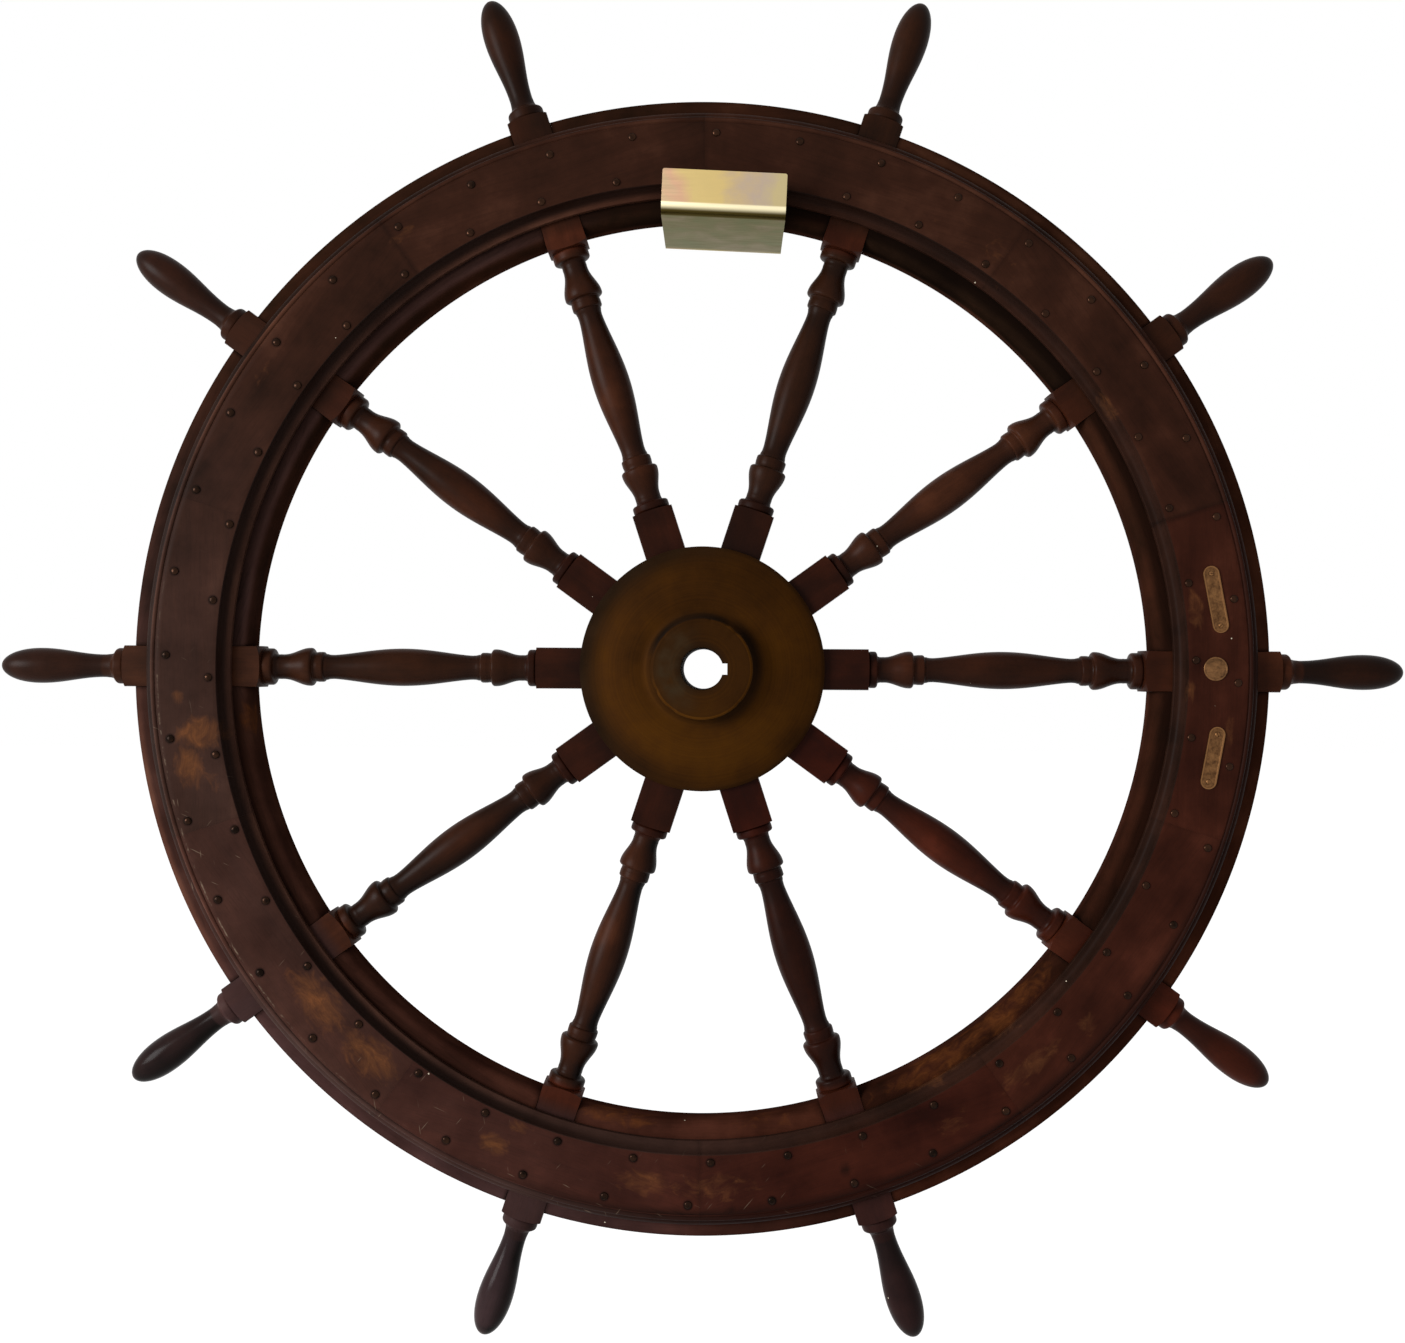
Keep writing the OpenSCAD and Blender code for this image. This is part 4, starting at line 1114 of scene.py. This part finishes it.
def makeHubBack():
    flange, end, boss, half, cove = hub["flange"], hub["end"], hub["boss"], rim["halfDepth"], hub["backCove"]
    seat, inner, edge = half + hub["backFlange"], hub["sleeve"] + hub["sleeveFit"], hub["bossRound"]
    points = [(inner, half), (80, half), (flange, half)] + arc((flange - 2, seat - 2), (2, 2), 0, 90, 5)
    points += [(flange - 16, seat), (flange - 34, seat), (flange - 52, seat)]
    points += arc((boss + cove, seat + cove), (cove, cove), -90, -175, 8)
    points += arc((boss - edge, end - edge), (edge, edge), 0, 90, 6) + [(37.2, end), (inner, end - 1)]
    bm = turnedPiece([(r, -h) for r, h in points], hub["steps"], closed=True)
    hubMarks(bm, False)
    finishPiece(bm, "hubBackFlange", ["hub_back"], "wheel", hubBronze)


makeHubFront()
makeHubBack()
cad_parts["nave_blocks"].material_slots[0].material = blockWood
print("hub made")

# Round-headed rivets through the rim, clenched over roves at the back, and the hub's hexagon bolts
rivet = {"head": 4.2, "rise": 2.3, "shank": 2.8, "rove": 1.6, "tail": 4.2, "tailRise": 1.8, "steps": 20,
         "lean": 4, "flattened": 0.8}
bolt = {"circle": 109.25, "across": 15, "head": 6, "headEdge": 1.1, "shank": 4, "shankEnd": 3.8, "past": 9,
        "steps": 20}


def makeRivets(row):
    bm = bmesh.new()
    radius, first = rivetRows[row]
    tailFoot, tailRise = -rimFront - rivet["rove"], rivet["tailRise"]
    points = [(0, tailFoot - tailRise)] + arc((0, tailFoot), (rivet["tail"], tailRise), -70, 0, 4)
    points += [(rivet["shank"], tailFoot), (rivet["shank"], rimFront)]
    points += arc((0, rimFront), (rivet["head"], rivet["rise"]), 0, 80, 6) + [(0, rimFront + rivet["rise"])]
    for j in range(int(360 / rivetPitch)):
        one = turnedPiece(points, rivet["steps"])
        proud = [v for v in one.verts if v.co.z > rimFront + 0.1]
        lean = turned(chance.uniform(-rivet["lean"], rivet["lean"]), (chance.uniform(-1, 1), 1, 0))
        bmesh.ops.rotate(one, cent=(0, 0, rimFront), matrix=lean, verts=proud)
        bmesh.ops.scale(one, vec=(1, 1, chance.uniform(rivet["flattened"], 1)), verts=proud,
                        space=moved(0, 0, -rimFront))
        one.transform(turned(first + rivetPitch * j) @ moved(radius, 0, 0))
        rubEdges(one, math.inf, 0, chance.uniform(-0.1, 0.1) + 0.1 * leaning(rivetPitch * j, 60))
        joinTo(bm, one)
    finishPiece(bm, f"{row}RivetRow", [f"{row}_rivets"], "wheel", rivetCopper, crease=50)


def makeBolts():
    bm = bmesh.new()
    seat = -rim["halfDepth"] - hub["backFlange"]
    for j in range(spokeCount):
        place = turned(pitch * (j + 0.5)) @ moved(bolt["circle"], 0, 0) @ turned(chance.uniform(0, 60))
        head = bmesh.ops.create_circle(bm, segments=6, radius=bolt["across"] / 2, cap_ends=True,
                                       matrix=place @ moved(0, 0, seat))["verts"]
        up = bmesh.ops.extrude_face_region(bm, geom=[head[0].link_faces[0]])["geom"]
        bmesh.ops.translate(bm, verts=newVerts(up), vec=(0, 0, -bolt["head"]))
        soften(bm, ofKind(bmesh.types.BMEdge, up), bolt["headEdge"], 2)
        length = rim["halfDepth"] + bolt["past"] - seat
        middle = place @ moved(0, 0, seat + length / 2)
        bmesh.ops.create_cone(bm, cap_ends=True, segments=bolt["steps"], radius1=bolt["shank"],
                              radius2=bolt["shankEnd"], depth=length, matrix=middle)
    finishPiece(bm, "hubBolts", ["hub_bolts"], "wheel", boltBronze)


def rubEdges(bm, height, strength, pale=-0.05):
    # what stands as high as the border has been rubbed brighter
    marks = bm.verts.layers.float_vector.new("marks")
    for v in bm.verts:
        v[marks] = (0, 0, strength if v.co.z > height else pale)


makeRivets("outer")
makeRivets("inner")
makeBolts()
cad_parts["rivet_roves"].material_slots[0].material = rivetCopper
print("rivets and bolts made")

# Two small name plates, left bare, with a raised border, and a blank disc between them
plates = {
    "upper": {"length": 72, "at": 8, "turn": 2.8, "pale": 0.05},
    "lower": {"length": 67, "at": -9.6, "turn": -0.8, "pale": 0.03},
    "width": 17, "thick": 1.6, "border": 1.4, "borderEdge": 0.4, "sunk": 0.5, "ring": 550.25, "screwInset": 8,
    "steps": 64, "rubbed": 0.3,
}
screw = {"head": 2.9, "rise": 1.5, "foot": 0.4, "slot": 0.45, "slotDeep": 0.8, "slotFloor": 0.1, "steps": 32,
         "rubbed": 0.5}
disc = {"at": 0.3, "inset": 5, "radius": 12.7, "thick": 1.5, "border": 1.5, "borderEdge": 0.4, "sunk": 0.45,
        "round": 0.3, "steps": 96, "rubbed": 0.08, "pale": -0.02}


def onRim(look, along=0.0):
    # a place on the rim's front with X along the plate and Z out of the rim
    return (turned(look["at"]) @ moved(plates["ring"], 0, rimFront)
            @ turned(90 + look["turn"]) @ moved(along, 0, 0))


def makePlate(name):
    bm = bmesh.new()
    look = plates[name]
    verts = bmesh.ops.create_circle(bm, segments=plates["steps"], radius=plates["width"] / 2,
                                    cap_ends=True)["verts"]
    for v in verts:
        v.co.x += math.copysign((look["length"] - plates["width"]) / 2, v.co.x)
    up = bmesh.ops.extrude_face_region(bm, geom=bm.faces[:])["geom"]
    bmesh.ops.translate(bm, verts=newVerts(up), vec=(0, 0, plates["thick"]))
    face = ofKind(bmesh.types.BMFace, up)
    bmesh.ops.inset_region(bm, faces=face, thickness=plates["border"], depth=0)
    bmesh.ops.inset_region(bm, faces=face, thickness=plates["borderEdge"], depth=-plates["sunk"])
    closeHoles(bm)
    rubEdges(bm, plates["thick"] - 0.1, plates["rubbed"], look["pale"])
    bm.transform(onRim(look))
    finishPiece(bm, f"{name}NamePlate", [f"{name}_plate"], "wheel", plateBrass)


def screwHead():
    # a dome with a slot sunk across it
    dome = [(screw["head"], -screw["foot"])] + arc((0, 0), (screw["head"], screw["rise"]), 0, 90, 8)
    one = turnedPiece(dome, screw["steps"])
    for edge in (-1, 1):
        cutThrough(one, (edge * screw["slot"], 0, 0), (1, 0, 0))
    closeHoles(one)
    middles = [(f, f.calc_center_median()) for f in one.faces]
    strip = [f for f, middle in middles if abs(middle.x) < screw["slot"] and middle.z > 0.001]
    sunk = bmesh.ops.extrude_face_region(one, geom=strip)["geom"]
    bmesh.ops.delete(one, geom=[f for f in strip if f.is_valid], context="FACES_ONLY")
    for v in newVerts(sunk):
        v.co.z = max(screw["slotFloor"], v.co.z - screw["slotDeep"])
    rubEdges(one, screw["rise"] * 0.6, screw["rubbed"])
    return one


def makeScrews():
    bm = bmesh.new()
    for look in (plates["upper"], plates["lower"]):
        for side in (-1, 1):
            one = screwHead()
            one.transform(onRim(look, side * (look["length"] / 2 - plates["screwInset"]))
                          @ moved(0, 0, plates["thick"] - plates["sunk"]) @ turned(chance.uniform(0, 180)))
            joinTo(bm, one)
    finishPiece(bm, "plateScrewHeads", ["plate_screws"], "wheel", plateBrass, crease=40)


def makeDisc():
    r, t, edge, inner = disc["radius"], disc["thick"], disc["round"], disc["radius"] - disc["border"]
    points = [(0, 0), (r, 0), (r, t - edge), (r - edge, t), (inner, t),
              (inner - disc["borderEdge"], t - disc["sunk"]), (r * 0.6, t - 0.2), (r * 0.3, t - 0.08), (0, t)]
    bm = turnedPiece(points, disc["steps"])
    rubEdges(bm, t * 0.8, disc["rubbed"], disc["pale"])
    bm.transform(turned(disc["at"]) @ moved(plates["ring"] - disc["inset"], 0, rimFront))
    finishPiece(bm, "kingSpokeDisc", ["king_spoke_disc"], "wheel", discGilt)


makePlate("upper")
makePlate("lower")
makeScrews()
makeDisc()
print("plates made")

# The bent steel hanger: heights are above the wheel's axis, depths are towards the front
hanger = {
    "width": 130, "thick": 10, "bend": 12, "lip": 46, "back": 118, "turn": -2.4,
    "lipFront": -boxMm("hanger")[0].y, "wall": -boxMm("hanger")[1].y, "shelf": 472.32,
    "screwCircle": 80, "screwUp": 66, "hole": 9, "holeSteps": 32, "corner": 2.2, "bevel": 1.2,
    "bevelFrom": 50,
}


def markSheet(bm):
    # how far across the sheet (0 to 1) and how far along its outside from the lip's top (mm) each point lies
    sheet = bm.verts.layers.float_vector.new("sheet")
    bend, quarter = hanger["bend"], hanger["bend"] * math.pi / 2
    flatEnd = hanger["lip"] - bend
    deep = hanger["lipFront"] - hanger["wall"]
    shelfEnd = flatEnd + quarter + deep - 2 * bend
    upright = turned(-hanger["turn"])
    for v in bm.verts:
        across, up, out = upright @ v.co
        height, depth = up - hanger["shelf"], hanger["lipFront"] - out
        if height > bend:
            along = hanger["lip"] - height if depth < deep / 2 else shelfEnd + quarter + height
        elif depth < bend:
            along = flatEnd + bend * math.atan2(bend - height, bend - depth)
        elif depth > deep - bend:
            along = shelfEnd + bend * math.atan2(depth - deep + bend, bend - height)
        else:
            along = flatEnd + quarter + depth - bend
        v[sheet] = (across / hanger["width"] + 0.5, along, 0)


def bentStrip():
    # the sheet's middle line from the lip round both bends to the top of the back plate, then its width
    bm = bmesh.new()
    half, shelf = hanger["thick"] / 2, hanger["shelf"]
    middle, low, lipTop = hanger["bend"] - half, shelf + hanger["bend"], shelf + hanger["lip"]
    front, wall = hanger["lipFront"] - half, hanger["wall"] + half
    line = [(lipTop, front)] + arc((low, front - middle), (middle, middle), 90, 180, 9)
    line += arc((low, wall + middle), (middle, middle), 180, 270, 9) + [(shelf + hanger["back"], wall)]
    edges = drawLine(bm, [(-hanger["width"] / 2, up, out) for up, out in line])
    drawn = bmesh.ops.extrude_edge_only(bm, edges=edges)["geom"]
    bmesh.ops.translate(bm, verts=newVerts(drawn), vec=(hanger["width"], 0, 0))
    corners = [v for v in bm.verts if v.co.y > lipTop - 0.1 and len(v.link_edges) == 2]
    soften(bm, corners, hanger["corner"], 6, affect="VERTICES")
    # the back plate is filled again round its four screw holes
    plate = max(bm.faces, key=lambda f: f.calc_center_median().y)
    border = list(plate.edges)
    bmesh.ops.delete(bm, geom=[plate], context="FACES_ONLY")
    rings = set()
    for a in (45, 135, 225, 315):
        place = moved(0, shelf + hanger["screwUp"], wall) @ turned(a) @ moved(hanger["screwCircle"] / 2, 0, 0)
        hole = bmesh.ops.create_circle(bm, segments=hanger["holeSteps"], radius=hanger["hole"] / 2,
                                       matrix=place)["verts"]
        rings |= {e for v in hole for e in v.link_edges}
    bmesh.ops.triangle_fill(bm, use_beauty=True, edges=border + list(rings))
    bmesh.ops.recalc_face_normals(bm, faces=bm.faces[:])
    bm.transform(turned(hanger["turn"]))
    return bm


def makeHanger():
    blank = addObject("blank", meshFrom(bentStrip(), "sheet"))
    thicken = blank.modifiers.new("thicken", "SOLIDIFY")
    thicken.thickness, thicken.offset = hanger["thick"], 0
    rounded = blank.modifiers.new("rounded", "BEVEL")
    rounded.width, rounded.segments, rounded.limit_method = hanger["bevel"], 3, "ANGLE"
    rounded.angle_limit = math.radians(hanger["bevelFrom"])
    bm = bmesh.new()
    bm.from_mesh(blank.evaluated_get(bpy.context.evaluated_depsgraph_get()).to_mesh())
    bpy.data.objects.remove(blank)
    markSheet(bm)
    finishPiece(bm, "bentHanger", ["hanger"], "hanger", zincSteel)


makeHanger()
print("hanger made")

# Camera where the photograph was taken from, a far floor, and soft studio light from the left
view = {"place": (0.0233, -1.7, -0.0027), "lens": 40.01, "sensor": 36, "shift": -0.0153, "roll": -0.31}
studio = {
    "floorHeight": -1.6, "floorSize": 30, "floorWhite": 0.9, "floorRough": 0.9, "floorGlow": 1.3,
    "glowShare": 0.75, "skyOnObject": 0.32, "keyPlace": (-4.5, -3.3, 0.75), "keySize": 2.4, "keyWatts": 290,
}


def makeCamera():
    data = bpy.data.cameras.new("camera")
    data.lens, data.sensor_width, data.shift_x = view["lens"], view["sensor"], view["shift"]
    camera = addObject("camera", data)
    camera.location = view["place"]
    camera.rotation_euler = (math.radians(90), math.radians(view["roll"]), 0)
    scene.camera = camera


def seenRays(add):
    # 1 for what is seen straight on, in a reflection or through glass, 0 for the light on surfaces
    rays = add("LightPath").outputs
    seen = add("Math", rays["Is Camera Ray"], rays["Is Glossy Ray"], operation="MAXIMUM")
    return add("Math", seen, rays["Is Transmission Ray"], operation="MAXIMUM")


def makeStudio():
    # white behind the object and in its reflections, softer light on its surfaces
    world = bpy.data.worlds.new("studio")
    world.use_nodes = True
    tree = world.node_tree
    add = partial(addNode, tree)
    level = add("MapRange", {0: seenRays(add), 3: studio["skyOnObject"], 4: 1})
    setInputs(tree.nodes["Background"], {"Color": (1, 1, 1, 1), "Strength": level})
    scene.world = world

    lamp = bpy.data.lights.new("key", "AREA")
    lamp.size, lamp.energy = studio["keySize"], studio["keyWatts"]
    key = addObject("key", lamp)
    key.location = studio["keyPlace"]
    key.rotation_euler = (-Vector(studio["keyPlace"])).to_track_quat("-Z", "Y").to_euler()

    bm = bmesh.new()
    bmesh.ops.create_grid(bm, x_segments=1, y_segments=1, size=studio["floorSize"])
    bmesh.ops.translate(bm, verts=bm.verts[:], vec=(0, 0, studio["floorHeight"]))
    floor = addObject("floor", meshFrom(bm, "floor"))
    # painted white, lit up for the eye but still dark where a shadow falls
    material, add, shader = newMaterial("paleFloor")
    setInputs(shader, {"Base Color": (studio["floorWhite"],) * 3 + (1,), "Roughness": studio["floorRough"]})
    glow = add("Emission", {"Strength": studio["floorGlow"]})
    share = add("Math", seenRays(add), studio["glowShare"], operation="MULTIPLY")
    lit = add("MixShader", share, shader, glow)
    setInputs(material.node_tree.nodes["Material Output"], {"Surface": lit})
    floor.data.materials.append(material)
    scene.view_settings.view_transform = "Standard"


makeCamera()
makeStudio()
print("camera and studio made")
